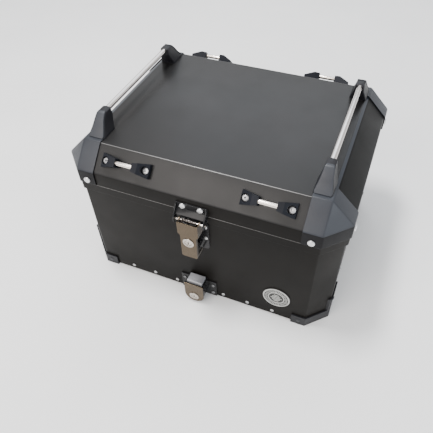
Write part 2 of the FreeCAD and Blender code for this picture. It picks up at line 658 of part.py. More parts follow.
LID_RIVET_Z = AXIS_Z + HINGE_R + HINGE_GAP + HINGE_LEAF_H / 2
BODY_RIVET_Z = RIM_TOP - RIM_H + BODY_RIVET_RISE
lid_hinge_tools = [hole(p, n, WALL_DRILL, THROUGH) for p, n in hinge_rivet_places(LID_RIVET_Z)]
body_hinge_tools = [hole(p, n, WALL_DRILL, 2 * THROUGH) for p, n in hinge_rivet_places(BODY_RIVET_Z)]
parts["hinge_leaf_lid"] = drilled(hinge_leaf(1, 1), lid_hinge_tools)
parts["hinge_leaf_body"] = drilled(hinge_leaf(-1, 0), body_hinge_tools)
HALF_HINGE_PIN = HINGE_L / 2 - HINGE_END
parts["hinge_pin"] = rod(V(-HALF_HINGE_PIN, AXIS_Y, AXIS_Z), V(HALF_HINGE_PIN, AXIS_Y, AXIS_Z), HINGE_PIN_R)
parts["hinge_rivets_lid"] = Part.makeCompound([
    dome_rivet(p, n, HINGE_LEAF_T + LID_T) for p, n in hinge_rivet_places(LID_RIVET_Z)])
parts["hinge_rivets_body"] = Part.makeCompound([
    dome_rivet(p, n, HINGE_LEAF_T + WALL_SET + WALL_T) for p, n in hinge_rivet_places(BODY_RIVET_Z)])
parts["rim_frame"] = drilled(parts["rim_frame"], body_hinge_tools)
parts["case_wall"] = drilled(parts["case_wall"], body_hinge_tools)

# ---- key hasp on the front ----------------------------------------------------------------
PIN_Y = FRONT_SHEET - HASP_OUT
FLAP_FACE = PIN_Y - FLAP_OUT
HASP_SCREWS = facing_front(HASP_SCREW_X, FRONT_SHEET - HASP_T, (HASP_SCREW_Z,))
HASP_HEAD_R = 4.6
HASP_HEAD_H = 2.4
EAR_GAP = 0.4                           # bracket ear in front of the lid sheet
hasp_tools = [hole(p, n, SCREW_DRILL, HASP_T + LID_T + 1) for p, n in HASP_SCREWS]

lid_sheet = sheet_block.cut(inner_block)
parts["lid_shell"] = drilled(lid_sheet, cap_tools + loop_holes + lid_hinge_tools + hasp_tools)


def hasp_bracket():
    """Back plate on the lid skirt, a sloping hood and two ears that carry the pin."""
    half = HASP_W / 2
    back = FRONT_SHEET - HASP_T
    crease = LID_Z + HASP_CREASE
    nose_y = PIN_Y + HOOD_NOSE
    nose_z = HASP_Z + HOOD_RISE
    ear_back = FRONT_SHEET - EAR_GAP
    ear_top = HASP_TOP - EAR_SET
    plate = block(-half, half, back, FRONT_SHEET, crease, HASP_TOP)
    hood = polygon([
        V(-half, back, crease + HOOD_T), V(-half, back, crease),
        V(-half, nose_y, nose_z), V(-half, nose_y, nose_z + HASP_T)])
    ear = polygon([
        V(0, ear_back, crease - EAR_DROP + HASP_CREASE), V(0, ear_back, ear_top),
        V(0, back - HOOD_T, ear_top), V(0, PIN_Y - EAR_DROP, nose_z),
        V(0, PIN_Y - EAR_REACH, HASP_Z - EAR_DROP), V(0, PIN_Y + EAR_DROP, HASP_Z - EAR_DROP)])
    pieces = [plate, hood.extrude(V(HASP_W, 0, 0))]
    for x in (-half, half - HASP_T):
        one_ear = ear.copy()
        one_ear.translate(V(x, 0, 0))
        pieces.append(one_ear.extrude(V(HASP_T, 0, 0)))
    bracket = fused(pieces)
    pin_hole = rod(V(-HASP_W, PIN_Y, HASP_Z), V(HASP_W, PIN_Y, HASP_Z), HASP_PIN_R)
    return drilled(bracket, [pin_hole] + hasp_tools)


def key_bore(radius):
    return rod(V(0, FLAP_FACE - KEY_FLANGE_R, KEY_Z), V(0, FRONT_WALL, KEY_Z), radius)


def hasp_flap():
    """A channel that hangs on the pin: face, two side walls and two pin ears."""
    top, low, cut = FLAP_W_TOP / 2, FLAP_W_LOW / 2, FLAP_CORNER
    inner_y = FLAP_FACE + FLAP_T
    wall_back = PIN_Y + FLAP_WALL_PAST
    notch_low = FLAP_BOTTOM + 3 * cut
    notch_high = KEY_Z + CAM_W / 2 + cut
    right = [
        (low - cut, FLAP_BOTTOM), (low, FLAP_BOTTOM + cut), (low, FLAP_STEP - cut),
        (top, FLAP_STEP + cut), (top, FLAP_TOP)]
    outline = [V(x, FLAP_FACE, z) for x, z in right]
    outline += [V(-x, FLAP_FACE, z) for x, z in reversed(right)]
    pieces = [polygon(outline).extrude(V(0, FLAP_T, 0))]
    for sx in (1, -1):
        x = sorted((sx * low, sx * (low - FLAP_T)))
        pieces.append(block(*x, inner_y, inner_y + FLAP_WALL, FLAP_BOTTOM + cut, FLAP_STEP - cut))
        pieces.append(block(*x, inner_y, wall_back, FLAP_BOTTOM + cut, notch_low))
        pieces.append(block(*x, inner_y, wall_back, notch_high, FLAP_STEP - cut))
        x = sorted((sx * top, sx * (top - FLAP_T)))
        pieces.append(block(*x, inner_y, wall_back, FLAP_STEP + cut, HASP_Z))
        pieces.append(rod(V(x[0], PIN_Y, HASP_Z), V(x[1], PIN_Y, HASP_Z), FLAP_EAR_R))
        pieces.append(block(*x, inner_y, PIN_Y, HASP_Z, FLAP_TOP - FLAP_T / 2))
    flap = fused(pieces)
    pin_bore = rod(V(-HASP_W, PIN_Y, HASP_Z), V(HASP_W, PIN_Y, HASP_Z), HASP_PIN_R + PIN_FIT)
    return drilled(flap, [pin_bore, key_bore(KEY_BARREL_R)])


CAM_Y = FRONT_WALL - HASP_BASE_T - CAM_BACK
PLUG_FACE = FLAP_FACE - KEY_PLUG_PROUD
CAM_GAP = 0.5                           # cam behind the barrel


def lock_barrel(face_y, back_y, z, flange_r, barrel_r, plug_r, plate_y):
    """A lock cylinder: flange in front of its plate, body behind it, bored for the plug."""
    flange = rod(V(0, plate_y, z), V(0, face_y, z), flange_r)
    body = rod(V(0, plate_y, z), V(0, back_y, z), barrel_r)
    return fused([flange, body]).cut(rod(V(0, face_y - 1, z), V(0, back_y + 1, z), plug_r))


def lock_plug(face_y, back_y, z, plug_r):
    plug = rod(V(0, face_y, z), V(0, back_y, z), plug_r)
    half_w, half_h = KEYWAY_W / 2, KEYWAY_H / 2
    return plug.cut(block(-half_w, half_w, face_y - 1, face_y + KEYWAY_DEEP, z - half_h, z + half_h))


parts["hasp_bracket"] = hasp_bracket()
parts["hasp_screws"] = Part.makeCompound(
    [pan_screw(p, n, HASP_HEAD_R, HASP_HEAD_H, SCREW_R, HASP_T + LID_T) for p, n in HASP_SCREWS])
HALF_PIN = HASP_W / 2 + HASP_PIN_PROUD
parts["hasp_pin"] = rod(V(-HALF_PIN, PIN_Y, HASP_Z), V(HALF_PIN, PIN_Y, HASP_Z), HASP_PIN_R)
parts["hasp_flap"] = hasp_flap()
BARREL_BACK = CAM_Y - CAM_GAP
parts["hasp_barrel"] = lock_barrel(
    FLAP_FACE - KEY_FLANGE_T, BARREL_BACK, KEY_Z,
    KEY_FLANGE_R, KEY_BARREL_R, KEY_PLUG_R + PIN_FIT, FLAP_FACE)
parts["hasp_plug"] = lock_plug(PLUG_FACE, CAM_Y, KEY_Z, KEY_PLUG_R)

cam = block(-CAM_L, 0, CAM_Y, CAM_Y + CAM_T, KEY_Z - CAM_W / 2, KEY_Z + CAM_W / 2)
parts["hasp_cam"] = fused([cam, rod(V(0, CAM_Y, KEY_Z), V(0, CAM_Y + CAM_T, KEY_Z), CAM_W / 2 + 1)])

base_plate = block(-HASP_BASE_W / 2, HASP_BASE_W / 2, FRONT_WALL - HASP_BASE_T, FRONT_WALL,
                   HASP_BASE_BOTTOM, HASP_BASE_TOP)
plate_corners = [e for e in base_plate.Edges if abs(e.tangentAt(e.FirstParameter).y) > 0.9]
parts["hasp_base"] = drilled(base_plate.makeFillet(HASP_BASE_ROUND, plate_corners), lock_tools)
parts["hasp_base_rivets"] = Part.makeCompound([
    dome_rivet(p, n, HASP_BASE_T + WALL_T) for p, n in HASP_BASE_RIVETS])

CATCH_FRONT = CAM_Y - CATCH_GAP - CATCH_T
catch_back = FRONT_WALL - HASP_BASE_T
half_catch = CATCH_W / 2
catch_pieces = [
    block(-half_catch, half_catch, CATCH_FRONT, CATCH_FRONT + CATCH_T, CATCH_BOTTOM, CATCH_TOP),
    block(-half_catch, half_catch, CATCH_FRONT, catch_back, CATCH_BOTTOM, CATCH_BOTTOM + CATCH_T),
]
for x in (-half_catch, half_catch - CATCH_T):
    catch_pieces.append(
        block(x, x + CATCH_T, CATCH_FRONT, catch_back, CATCH_BOTTOM, CATCH_TOP - CATCH_CHEEK))
parts["hasp_catch"] = fused(catch_pieces)


COIL_SKIN = 0.2                         # sleeve that joins a coil's rings, as a share of its wire


def coil(radius, wire, turns, length, start, axis):
    """A coil spring as a stack of rings joined by their own wire thickness."""
    step = (length - 2 * wire) / (turns - 1)
    rings = []
    for k in range(turns):
        place = start + axis * (wire + k * step)
        rings.append(Part.makeTorus(radius, wire, place, axis))
    skin = wire * COIL_SKIN
    sleeve = Part.makeCylinder(radius - skin, length - 2 * wire, start + axis * wire, axis)
    core = Part.makeCylinder(radius - 3 * skin, length - 2 * wire, start + axis * wire, axis)
    return fused(rings + [sleeve.cut(core)])


parts["hasp_spring"] = coil(
    HASP_PIN_R + HASP_SPRING_GAP, HASP_SPRING_WIRE, HASP_SPRING_TURNS, HASP_SPRING_L,
    V(-HASP_SPRING_L / 2, PIN_Y, HASP_Z), V(1, 0, 0))

# ---- dock release under the hasp ----------------------------------------------------------
PLATE_FACE = FRONT_WALL - RELEASE_D
PLATE_BACK = PLATE_FACE + RELEASE_PLATE_T
HALF_R = RELEASE_W / 2
HOUSING_HALF = HALF_R - RELEASE_EDGE
HOUSING_IN = HOUSING_HALF - RELEASE_WALL
HOUSING_TOP = RELEASE_TOP - RELEASE_PLATE_T
HOUSING_LOW = RELEASE_BOTTOM + RELEASE_EDGE


def u_profile(half, top, bottom, y):
    """A plate outline with a round bottom end."""
    round_z = bottom + half
    arc = Part.Arc(V(-half, y, round_z), V(0, y, bottom), V(half, y, round_z)).toShape()
    lines = [
        Part.makeLine(V(half, y, round_z), V(half, y, top)),
        Part.makeLine(V(half, y, top), V(-half, y, top)),
        Part.makeLine(V(-half, y, top), V(-half, y, round_z)),
    ]
    return Part.Face(Part.Wire([arc] + lines))


def release_key_bore(radius):
    start = V(0, PLATE_FACE - RELEASE_D, RELEASE_KEY_Z)
    return rod(start, V(0, PLATE_BACK + 3 * RELEASE_WALL, RELEASE_KEY_Z), radius)


TONGUE_Z = FLOOR_Z - TONGUE_UNDER
TONGUE_LEG_Y = PLATE_BACK + TONGUE_LEG
TONGUE_BACK = FRONT_WALL + TONGUE_REACH
RELEASE_BARREL_BACK = PLATE_BACK + RELEASE_BARREL_L


def release_housing():
    """Black base on the wall with a hollow box that holds button, spring and tongue."""
    flange = block(-RELEASE_BASE_W / 2, RELEASE_BASE_W / 2, FRONT_WALL - RELEASE_WALL, FRONT_WALL,
                   FLOOR_Z, RELEASE_BASE_TOP)
    shell = u_profile(HOUSING_HALF, HOUSING_TOP, HOUSING_LOW, PLATE_BACK)
    shell = shell.extrude(V(0, FRONT_WALL - PLATE_BACK, 0))
    hollow_y = PLATE_BACK + RELEASE_WALL
    hollow = u_profile(HOUSING_IN, RELEASE_TOP + BUTTON_H, HOUSING_LOW + RELEASE_WALL, hollow_y)
    hollow = hollow.extrude(V(0, FRONT_WALL - RELEASE_WALL - hollow_y, 0))
    housing = fused([flange, shell]).cut(hollow)
    way = TONGUE_W / 2 + TONGUE_GAP
    mouth = block(-way, way, TONGUE_LEG_Y - BUTTON_TRAVEL - MOUTH_GAP, 0, -FOOT_H, FLOOR_Z + MOUTH_H)
    shelf_half = HOUSING_IN + RELEASE_WALL / 2
    shelf = block(-shelf_half, shelf_half, RELEASE_BARREL_BACK + TONGUE_GAP,
                  FRONT_WALL - RELEASE_WALL / 2, SHELF_Z, SHELF_Z + SHELF_T)
    housing = fused([housing.cut(mouth), shelf])
    return drilled(housing, [release_key_bore(RELEASE_BARREL_R)] + lock_tools)


parts["release_housing"] = release_housing()
plate = u_profile(HALF_R, RELEASE_TOP, RELEASE_BOTTOM, PLATE_FACE).extrude(V(0, RELEASE_PLATE_T, 0))
parts["release_plate"] = plate.cut(release_key_bore(RELEASE_BARREL_R))
parts["release_barrel"] = lock_barrel(
    PLATE_FACE - KEY_FLANGE_T, RELEASE_BARREL_BACK, RELEASE_KEY_Z, RELEASE_FLANGE_R, RELEASE_BARREL_R,
    RELEASE_PLUG_R + PIN_FIT, PLATE_FACE)
parts["release_plug"] = lock_plug(
    PLATE_FACE - KEY_PLUG_PROUD, RELEASE_BARREL_BACK + CAM_GAP, RELEASE_KEY_Z, RELEASE_PLUG_R)
parts["release_screws"] = Part.makeCompound([
    pan_screw(p, n, RIVET_HEAD_R, 1.5 * RIVET_HEAD_H, RIVET_R, RELEASE_WALL + WALL_T)
    for p, n in RELEASE_SCREWS])


SPRING_TOP = RELEASE_TOP - BUTTON_H


def release_button():
    """The push button that closes the top of the housing, with a stem for the spring."""
    half = HOUSING_IN - BUTTON_GAP
    y0 = PLATE_BACK + RELEASE_WALL + BUTTON_GAP
    y1 = FRONT_WALL - RELEASE_WALL - BUTTON_GAP
    top = RELEASE_TOP + BUTTON_TRAVEL
    button = block(-half, half, y0, y1, SPRING_TOP, top)
    edges = [e for e in button.Edges if e.CenterOfMass.z > top - BUTTON_GAP]
    return button.makeChamfer(BUTTON_CHAMFER, edges)


parts["release_button"] = release_button()
SPRING_FOOT = V(0, (RELEASE_BARREL_BACK + FRONT_WALL) / 2, SHELF_Z + SHELF_T)
parts["release_spring"] = coil(
    SPRING_R, SPRING_WIRE, SPRING_TURNS, SPRING_TOP - SPRING_FOOT.z, SPRING_FOOT, V(0, 0, 1))

half_tongue = TONGUE_W / 2
tongue_foot = block(-half_tongue, half_tongue, TONGUE_LEG_Y, TONGUE_BACK, TONGUE_Z, TONGUE_Z + TONGUE_T)
tongue_leg = block(-half_tongue, half_tongue, TONGUE_LEG_Y, TONGUE_LEG_Y + TONGUE_T, TONGUE_Z,
                   FLOOR_Z + TONGUE_H)
parts["release_tongue"] = fused([tongue_foot, tongue_leg])

# ---- files ---------------------------------------------------------------------------------
os.makedirs("parts", exist_ok=True)
for name, shape in parts.items():
    shape.exportStep("parts/" + name + ".step")
print(len(parts), "nodes")
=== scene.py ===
# %% [markdown]
# # A motorcycle top case, piece by piece
# The engineering model is loaded first and never moves. It gives the bodies, the joints and the
# true places. Everything after that dresses it: folded sheet, moulded corners, bars, locks,
# fasteners and their finishes. All lengths are metres; MM turns millimetres into them.

# %% Load the fixed frame
import json
import math

import bmesh
import bpy
from mathutils import Matrix, Quaternion, Vector

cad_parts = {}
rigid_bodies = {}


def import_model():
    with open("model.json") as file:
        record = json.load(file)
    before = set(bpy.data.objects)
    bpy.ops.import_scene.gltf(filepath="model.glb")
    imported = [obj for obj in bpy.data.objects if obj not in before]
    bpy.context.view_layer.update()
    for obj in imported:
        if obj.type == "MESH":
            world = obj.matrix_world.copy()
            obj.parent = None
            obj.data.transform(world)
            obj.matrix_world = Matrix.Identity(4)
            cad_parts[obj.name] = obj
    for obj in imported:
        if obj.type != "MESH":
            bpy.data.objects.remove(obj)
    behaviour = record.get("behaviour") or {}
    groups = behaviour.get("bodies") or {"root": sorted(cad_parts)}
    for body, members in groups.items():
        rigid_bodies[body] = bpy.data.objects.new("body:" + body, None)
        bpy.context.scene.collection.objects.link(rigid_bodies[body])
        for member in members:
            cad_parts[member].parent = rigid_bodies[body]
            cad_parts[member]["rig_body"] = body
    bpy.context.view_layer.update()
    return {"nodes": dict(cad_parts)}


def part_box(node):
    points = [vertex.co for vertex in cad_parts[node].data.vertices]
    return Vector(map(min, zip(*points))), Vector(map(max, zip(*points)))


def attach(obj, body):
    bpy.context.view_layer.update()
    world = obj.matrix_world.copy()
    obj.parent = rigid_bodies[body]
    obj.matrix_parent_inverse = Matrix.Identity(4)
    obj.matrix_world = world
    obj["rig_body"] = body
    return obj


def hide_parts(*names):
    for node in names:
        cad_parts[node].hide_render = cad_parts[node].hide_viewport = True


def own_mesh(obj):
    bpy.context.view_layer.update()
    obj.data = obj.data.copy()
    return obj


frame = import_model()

MM = 0.001

# %% [markdown]
# The case is one chamfered outline at several insets. Its main sizes are read from the boxes of
# the engineering pieces, so the looks follow the design. Only what a box can't say, such as the
# leg of the corner chamfer, is a named value here.

# %% Main sizes
CORNER_LEG = 33 * MM
CAP_T = 1.8 * MM
SHEET_T = 2.0 * MM
cap_low, cap_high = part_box("lid_cap_fr")
wall_low, wall_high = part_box("case_wall")
HALF_W, HALF_D = cap_high.x, -cap_low.y
LID_Z, TOP_Z = cap_low.z, cap_high.z
TOP_HALF_W, TOP_HALF_D = HALF_W - CORNER_LEG, HALF_D - CORNER_LEG
SLOPE_Z = TOP_Z - CORNER_LEG
CAP_EDGE_X, CAP_EDGE_Y = cap_low.x, -cap_high.y
WALL_X, WALL_Y = wall_high.x, wall_high.y
WALL_INSET = HALF_W - WALL_X
CORNERS = {"fl": (-1, 1), "fr": (1, 1), "rl": (-1, -1), "rr": (1, -1)}
print("lid skirt from", round(LID_Z, 4), "flat top at", round(TOP_Z, 4))

# %% [markdown]
# ## Tools of the bench
# A few helpers do what every piece needs: turn a bmesh into an object, smooth it without
# rounding its creases, finish its modifiers, and hand it to its body. A piece takes its body
# from the engineering node it stands for. One helper gives some faces a second finish by a rule
# on where they look, which is quicker and surer than picking faces by hand, and still works when
# a size changes.

# %% Making and settling a piece
SMOOTH_BELOW = math.radians(38)
WELD = 0.002 * MM


def object_from(name, mesh, finish):
    """An object in the scene with one finish, smooth but for its creases."""
    piece = bpy.data.objects.new(name, mesh)
    bpy.context.scene.collection.objects.link(piece)
    mesh.materials.clear()
    mesh.materials.append(finish)
    mesh.shade_smooth()
    mesh.set_sharp_from_angle(angle=SMOOTH_BELOW)
    return piece


def piece_from(name, bm, finish, mend=True):
    """Weld a bmesh, mend its normals if asked, and make it an object."""
    bmesh.ops.remove_doubles(bm, verts=bm.verts, dist=WELD)
    if mend:
        bmesh.ops.recalc_face_normals(bm, faces=bm.faces)
    mesh = bpy.data.meshes.new(name)
    bm.to_mesh(mesh)
    bm.free()
    return object_from(name, mesh, finish)


def settle(piece):
    """Make a piece's modifiers part of its mesh."""
    graph = bpy.context.evaluated_depsgraph_get()
    mesh = bpy.data.meshes.new_from_object(piece.evaluated_get(graph))
    piece.modifiers.clear()
    old = piece.data
    piece.data = mesh
    bpy.data.meshes.remove(old)
    return piece


def round_edges(piece, width, steps=3, above=30):
    """Bevel the edges that turn by more than this many degrees."""
    bevel = piece.modifiers.new("round_edges", "BEVEL")
    bevel.width = width
    bevel.segments = steps
    bevel.limit_method = "ANGLE"
    bevel.angle_limit = math.radians(above)
    bevel.harden_normals = True
    bevel.miter_outer = "MITER_ARC"
    return piece


def refinish(piece, finish, rule):
    """Give another finish to the faces whose normal and middle meet a rule."""
    piece.data.materials.append(finish)
    index = len(piece.data.materials) - 1
    chosen = [face for face in piece.data.polygons if rule(face.normal, face.center)]
    for face in chosen:
        face.material_index = index
    return len(chosen)


def hand_over(piece, *nodes):
    """The piece stands for these nodes and rides with their body."""
    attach(piece, frame["nodes"][nodes[0]]["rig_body"])
    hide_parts(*nodes)
    return piece

# %% [markdown]
# ## Finishes
# Each finish is one Principled shader fed by small node chains. They read Object coordinates,
# in metres, so a grain keeps its real size on every piece. A constant stays on the shader's own
# socket, and only what varies over the surface is linked.

# %% Node helpers
RAMP_LOW, RAMP_HIGH = 0.3, 0.7  # noise hardly ever leaves this span


def new_finish(name, metallic, specular=0.5):
    finish = bpy.data.materials.new(name)
    finish.use_nodes = True
    tree = finish.node_tree
    shader = tree.nodes["Principled BSDF"]
    shader.inputs["Metallic"].default_value = metallic
    shader.inputs["Specular IOR Level"].default_value = specular
    return finish, tree, shader


def grain(tree, scale, detail=3.0, stretch=(1, 1, 1)):
    """Noise of so many cells a metre; stretch above 1 makes it finer along that axis."""
    place = tree.nodes.new("ShaderNodeTexCoord")
    fit = tree.nodes.new("ShaderNodeMapping")
    fit.inputs["Scale"].default_value = stretch
    noise = tree.nodes.new("ShaderNodeTexNoise")
    noise.inputs["Scale"].default_value = scale
    noise.inputs["Detail"].default_value = detail
    tree.links.new(place.outputs["Object"], fit.inputs["Vector"])
    tree.links.new(fit.outputs["Vector"], noise.inputs["Vector"])
    return noise.outputs["Fac"]


def tinted(tree, shader, fac, dark, light):
    """Colour the shader from dark to light by a noise."""
    ramp = tree.nodes.new("ShaderNodeValToRGB")
    ramp.color_ramp.elements[0].position = RAMP_LOW
    ramp.color_ramp.elements[1].position = RAMP_HIGH
    ramp.color_ramp.elements[0].color = (*dark, 1)
    ramp.color_ramp.elements[1].color = (*light, 1)
    tree.links.new(fac, ramp.inputs["Fac"])
    tree.links.new(ramp.outputs["Color"], shader.inputs["Base Color"])


def between(tree, fac, low, high):
    """Spread a noise between two values."""
    span = tree.nodes.new("ShaderNodeMapRange")
    span.inputs["From Min"].default_value = RAMP_LOW
    span.inputs["From Max"].default_value = RAMP_HIGH
    span.inputs["To Min"].default_value = low
    span.inputs["To Max"].default_value = high
    tree.links.new(fac, span.inputs["Value"])
    return span.outputs["Result"]


def added(tree, first, second):
    total = tree.nodes.new("ShaderNodeMath")
    tree.links.new(first, total.inputs[0])
    tree.links.new(second, total.inputs[1])
    return total.outputs["Value"]


def relief(tree, shader, height, depth, strength=1.0):
    """Small bumps of this depth in metres."""
    bump = tree.nodes.new("ShaderNodeBump")
    bump.inputs["Strength"].default_value = strength
    bump.inputs["Distance"].default_value = depth
    tree.links.new(height, bump.inputs["Height"])
    tree.links.new(bump.outputs["Normal"], shader.inputs["Normal"])

# %% [markdown]
# Powder coat is baked plastic powder on aluminium. Up close it has a shallow orange peel, about
# a millimetre across, and hands leave broad duller patches. Noises of very different scale give
# both, so no image file is needed. The case has one coat, but light and shade are painted into
# it: what faces up keeps the paler satin copy, upright walls and side slopes get darker copies as
# painted shade, the band under each rail gets a bluish paler copy as a painted sky reflection, and
# the middle of the front and rear folds and the rim's top edge get a pale strip as a painted
# highlight, which also stands for paint worn thin there. So the coat is mixed a few times, with
# the colour, gloss and specular level as its only differences.

# %% Powder-coated sheet
CLOUDS, PATCHES, SPECKS, PEEL = 9, 22, 1500, 850  # cells a metre
PEEL_DEPTH = 0.05 * MM


def powder_coat(name, dark, light, rough, specular):
    finish, tree, shader = new_finish(name, 0.0, specular)
    tinted(tree, shader, grain(tree, CLOUDS, 4), dark, light)
    patches = between(tree, grain(tree, PATCHES, 3), rough - 0.04, rough + 0.05)
    specks = between(tree, grain(tree, SPECKS, 2), -0.03, 0.03)
    tree.links.new(added(tree, patches, specks), shader.inputs["Roughness"])
    relief(tree, shader, grain(tree, PEEL, 2), PEEL_DEPTH)
    return finish


lid_black = powder_coat("powder_coated_lid", (0.009, 0.009, 0.009), (0.013, 0.012, 0.012), 0.35, 0.30)
# A darker copy of the coat, painted shade for upright faces: lid skirt, body wall, rim band, lower hinge
# leaf.
painted_shade_black = powder_coat("powder_coated_wall_painted_shade", (0.004, 0.0035, 0.003), (0.007, 0.006, 0.005), 0.42, 0.09)
# A darker copy of the coat, painted shade for the lid's side slopes.
side_shade_black = powder_coat("powder_coated_side_painted_shade", (0.005, 0.005, 0.005), (0.008, 0.008, 0.008), 0.40, 0.12)
# A bluish paler copy of the coat, a painted sky reflection on the band between the top and a side slope.
band_sky_reflection_black = powder_coat("powder_coated_band_painted_reflection", (0.013, 0.017, 0.026), (0.020, 0.025, 0.036), 0.34, 0.55)
# A pale strip coat: a painted highlight line on the front and rear folds and the rim's top edge, which also
# stands for paint worn thin there.
highlight_and_wear_black = powder_coat("painted_highlight_worn_fold", (0.10, 0.097, 0.094), (0.20, 0.195, 0.19), 0.40, 0.5)
inner_black = powder_coat("inner_sheet_coat", (0.018, 0.018, 0.018), (0.026, 0.026, 0.026), 0.6, 0.2)
print("finishes so far:", len(bpy.data.materials))

# %% [markdown]
# The corners, guards, posts and loop feet are moulded plastic. Moulds for such parts are spark
# eroded, which leaves a fine even leather-like grain. A Voronoi pattern gives those small cells,
# and a little noise keeps them from looking like tiles. The plastic is also mixed more than once,
# as lit and shaded copies: the caps and covers keep the paler one, and the guards, posts, loop feet
# and the caps' upright faces get darker copies as painted shade.

# %% Moulded plastic
PEBBLE_DEPTH = 0.06 * MM


def moulded_plastic(name, dark, light, rough, specular=0.5, cells=1300):
    finish, tree, shader = new_finish(name, 0.0, specular)
    tinted(tree, shader, grain(tree, 30, 3), dark, light)
    tree.links.new(between(tree, grain(tree, 60, 3), rough - 0.05, rough + 0.05),
                   shader.inputs["Roughness"])
    place = tree.nodes.new("ShaderNodeTexCoord")
    pebbles = tree.nodes.new("ShaderNodeTexVoronoi")
    pebbles.inputs["Scale"].default_value = cells
    tree.links.new(place.outputs["Object"], pebbles.inputs["Vector"])
    height = added(tree, pebbles.outputs["Distance"], grain(tree, 2 * cells, 2))
    relief(tree, shader, height, PEBBLE_DEPTH, 0.8)
    return finish


plastic_black = moulded_plastic("moulded_plastic", (0.015, 0.017, 0.023), (0.021, 0.024, 0.031),
                                0.40, 0.42)
# A darker copy of the plastic, painted shade for the guards and posts.
plastic_painted_shade = moulded_plastic("moulded_plastic_painted_shade", (0.008, 0.008, 0.010), (0.013, 0.013, 0.016),
                              0.44, 0.25)
# A darker copy again, painted shade for the caps' upright faces.
plastic_skirt_shade = moulded_plastic("moulded_plastic_skirt_painted_shade", (0.006, 0.006, 0.007), (0.009, 0.009, 0.010),
                                0.44, 0.10)
# A darker copy, painted shade for the loop feet on the slopes.
plastic_foot_shade = moulded_plastic("moulded_plastic_foot_painted_shade", (0.005, 0.006, 0.009), (0.009, 0.010, 0.014),
                               0.44, 0.13)
rubber_black = moulded_plastic("ribbed_rubber", (0.016, 0.016, 0.016), (0.024, 0.024, 0.024),
                               0.72, cells=700)
print("finishes so far:", len(bpy.data.materials))

# %% [markdown]
# Metals differ by how they were worked. Rolled and brushed stainless has fine lines one way:
# noise squeezed hard across the lines and left long along them. Plated screws and springs were
# tumbled, so their marks have no direction. The flap, the plate under it and the lid's hinge pin
# are darkened to a warm brown as a painted warm reflection, and the rails get a faint warm tint as
# a painted reflection too. The cast button and the sides of the flap are duller, so those are only
# part metallic.

# %% Metals
MARKS, SMUDGES = 900, 70  # cells a metre
MARK_DEPTH = 0.02 * MM
BRUSHED_DOWN = (3.0, 3.0, 0.06)
DRAWN_BACK, DRAWN_ACROSS = (2, 0.05, 2), (0.05, 2, 2)


def worked_metal(name, dark, light, rough, lines=(1, 1, 1), metallic=1.0):
    finish, tree, shader = new_finish(name, metallic)
    marks = grain(tree, MARKS, 3, lines)
    smudges = between(tree, grain(tree, SMUDGES, 3), -0.12, 0.12)
    tinted(tree, shader, added(tree, marks, smudges), dark, light)
    tree.links.new(between(tree, marks, rough - 0.06, rough + 0.08), shader.inputs["Roughness"])
    relief(tree, shader, marks, MARK_DEPTH, 0.6)
    return finish


# Darkened to a warm brown: a painted reflection on the flap, the lower lock's plate and the hinge pin.
warm_reflection_stainless = worked_metal("brushed_stainless_painted_reflection", (0.084, 0.064, 0.043), (0.102, 0.078, 0.053), 0.27,
                         BRUSHED_DOWN)
# A faint warm tint on the rails, painted as a reflection.
rail_steel_warm_reflection = worked_metal("polished_rail_painted_reflection", (0.70, 0.655, 0.63), (0.84, 0.80, 0.78), 0.20, DRAWN_BACK)
bar_steel = worked_metal("polished_bar", (0.80, 0.73, 0.66), (0.93, 0.87, 0.80), 0.24, DRAWN_ACROSS)
plated = worked_metal("plated_lock_metal", (0.36, 0.32, 0.28), (0.56, 0.52, 0.47), 0.24)
zinc = worked_metal("zinc_plated_screw", (0.66, 0.66, 0.67), (0.84, 0.84, 0.84), 0.38)
rivet_metal = worked_metal("rivet_aluminium", (0.42, 0.42, 0.42), (0.58, 0.58, 0.58), 0.38)
dark_rivet = worked_metal("painted_rivet", (0.05, 0.05, 0.055), (0.09, 0.09, 0.095), 0.4)
spring_metal = worked_metal("spring_steel", (0.16, 0.14, 0.13), (0.30, 0.27, 0.25), 0.32)
button_metal = worked_metal("cast_button", (0.22, 0.22, 0.235), (0.32, 0.32, 0.335), 0.45, metallic=0.35)
flap_side = worked_metal("flap_side", (0.13, 0.115, 0.10), (0.18, 0.16, 0.145), 0.42, metallic=0.35)
small_metal = worked_metal("dull_screw", (0.16, 0.16, 0.165), (0.26, 0.26, 0.265), 0.4)
print("finishes so far:", len(bpy.data.materials))

# %% [markdown]
# The lock's bracket, base and catch are pressed steel with a thin wet black lacquer. It is
# glossier than the powder coat, so its bent edges catch thin bright lines. A clear coat over
# the black gives that double gloss.

# %% Gloss black steel
def lacquered_steel(name):
    finish, tree, shader = new_finish(name, 0.0, 0.16)
    shader.inputs["Coat Weight"].default_value = 0.12
    shader.inputs["Coat Roughness"].default_value = 0.08
    tinted(tree, shader, grain(tree, 40, 3), (0.008, 0.008, 0.009), (0.016, 0.016, 0.017))
    tree.links.new(between(tree, grain(tree, 400, 3), 0.18, 0.30), shader.inputs["Roughness"])
    relief(tree, shader, grain(tree, 600, 2), 0.00003)
    return finish


gloss_black = lacquered_steel("lacquered_steel")
print("finishes so far:", len(bpy.data.materials))

# %% [markdown]
# ## The camera
# The view is from above and to the right of the front. Its place, the point it looks at and a
# small roll fix it, and a small shift moves the middle of the frame off the lens axis. Aiming by
# a quaternion keeps the three apart: first look at the aim, then roll about the line of sight.

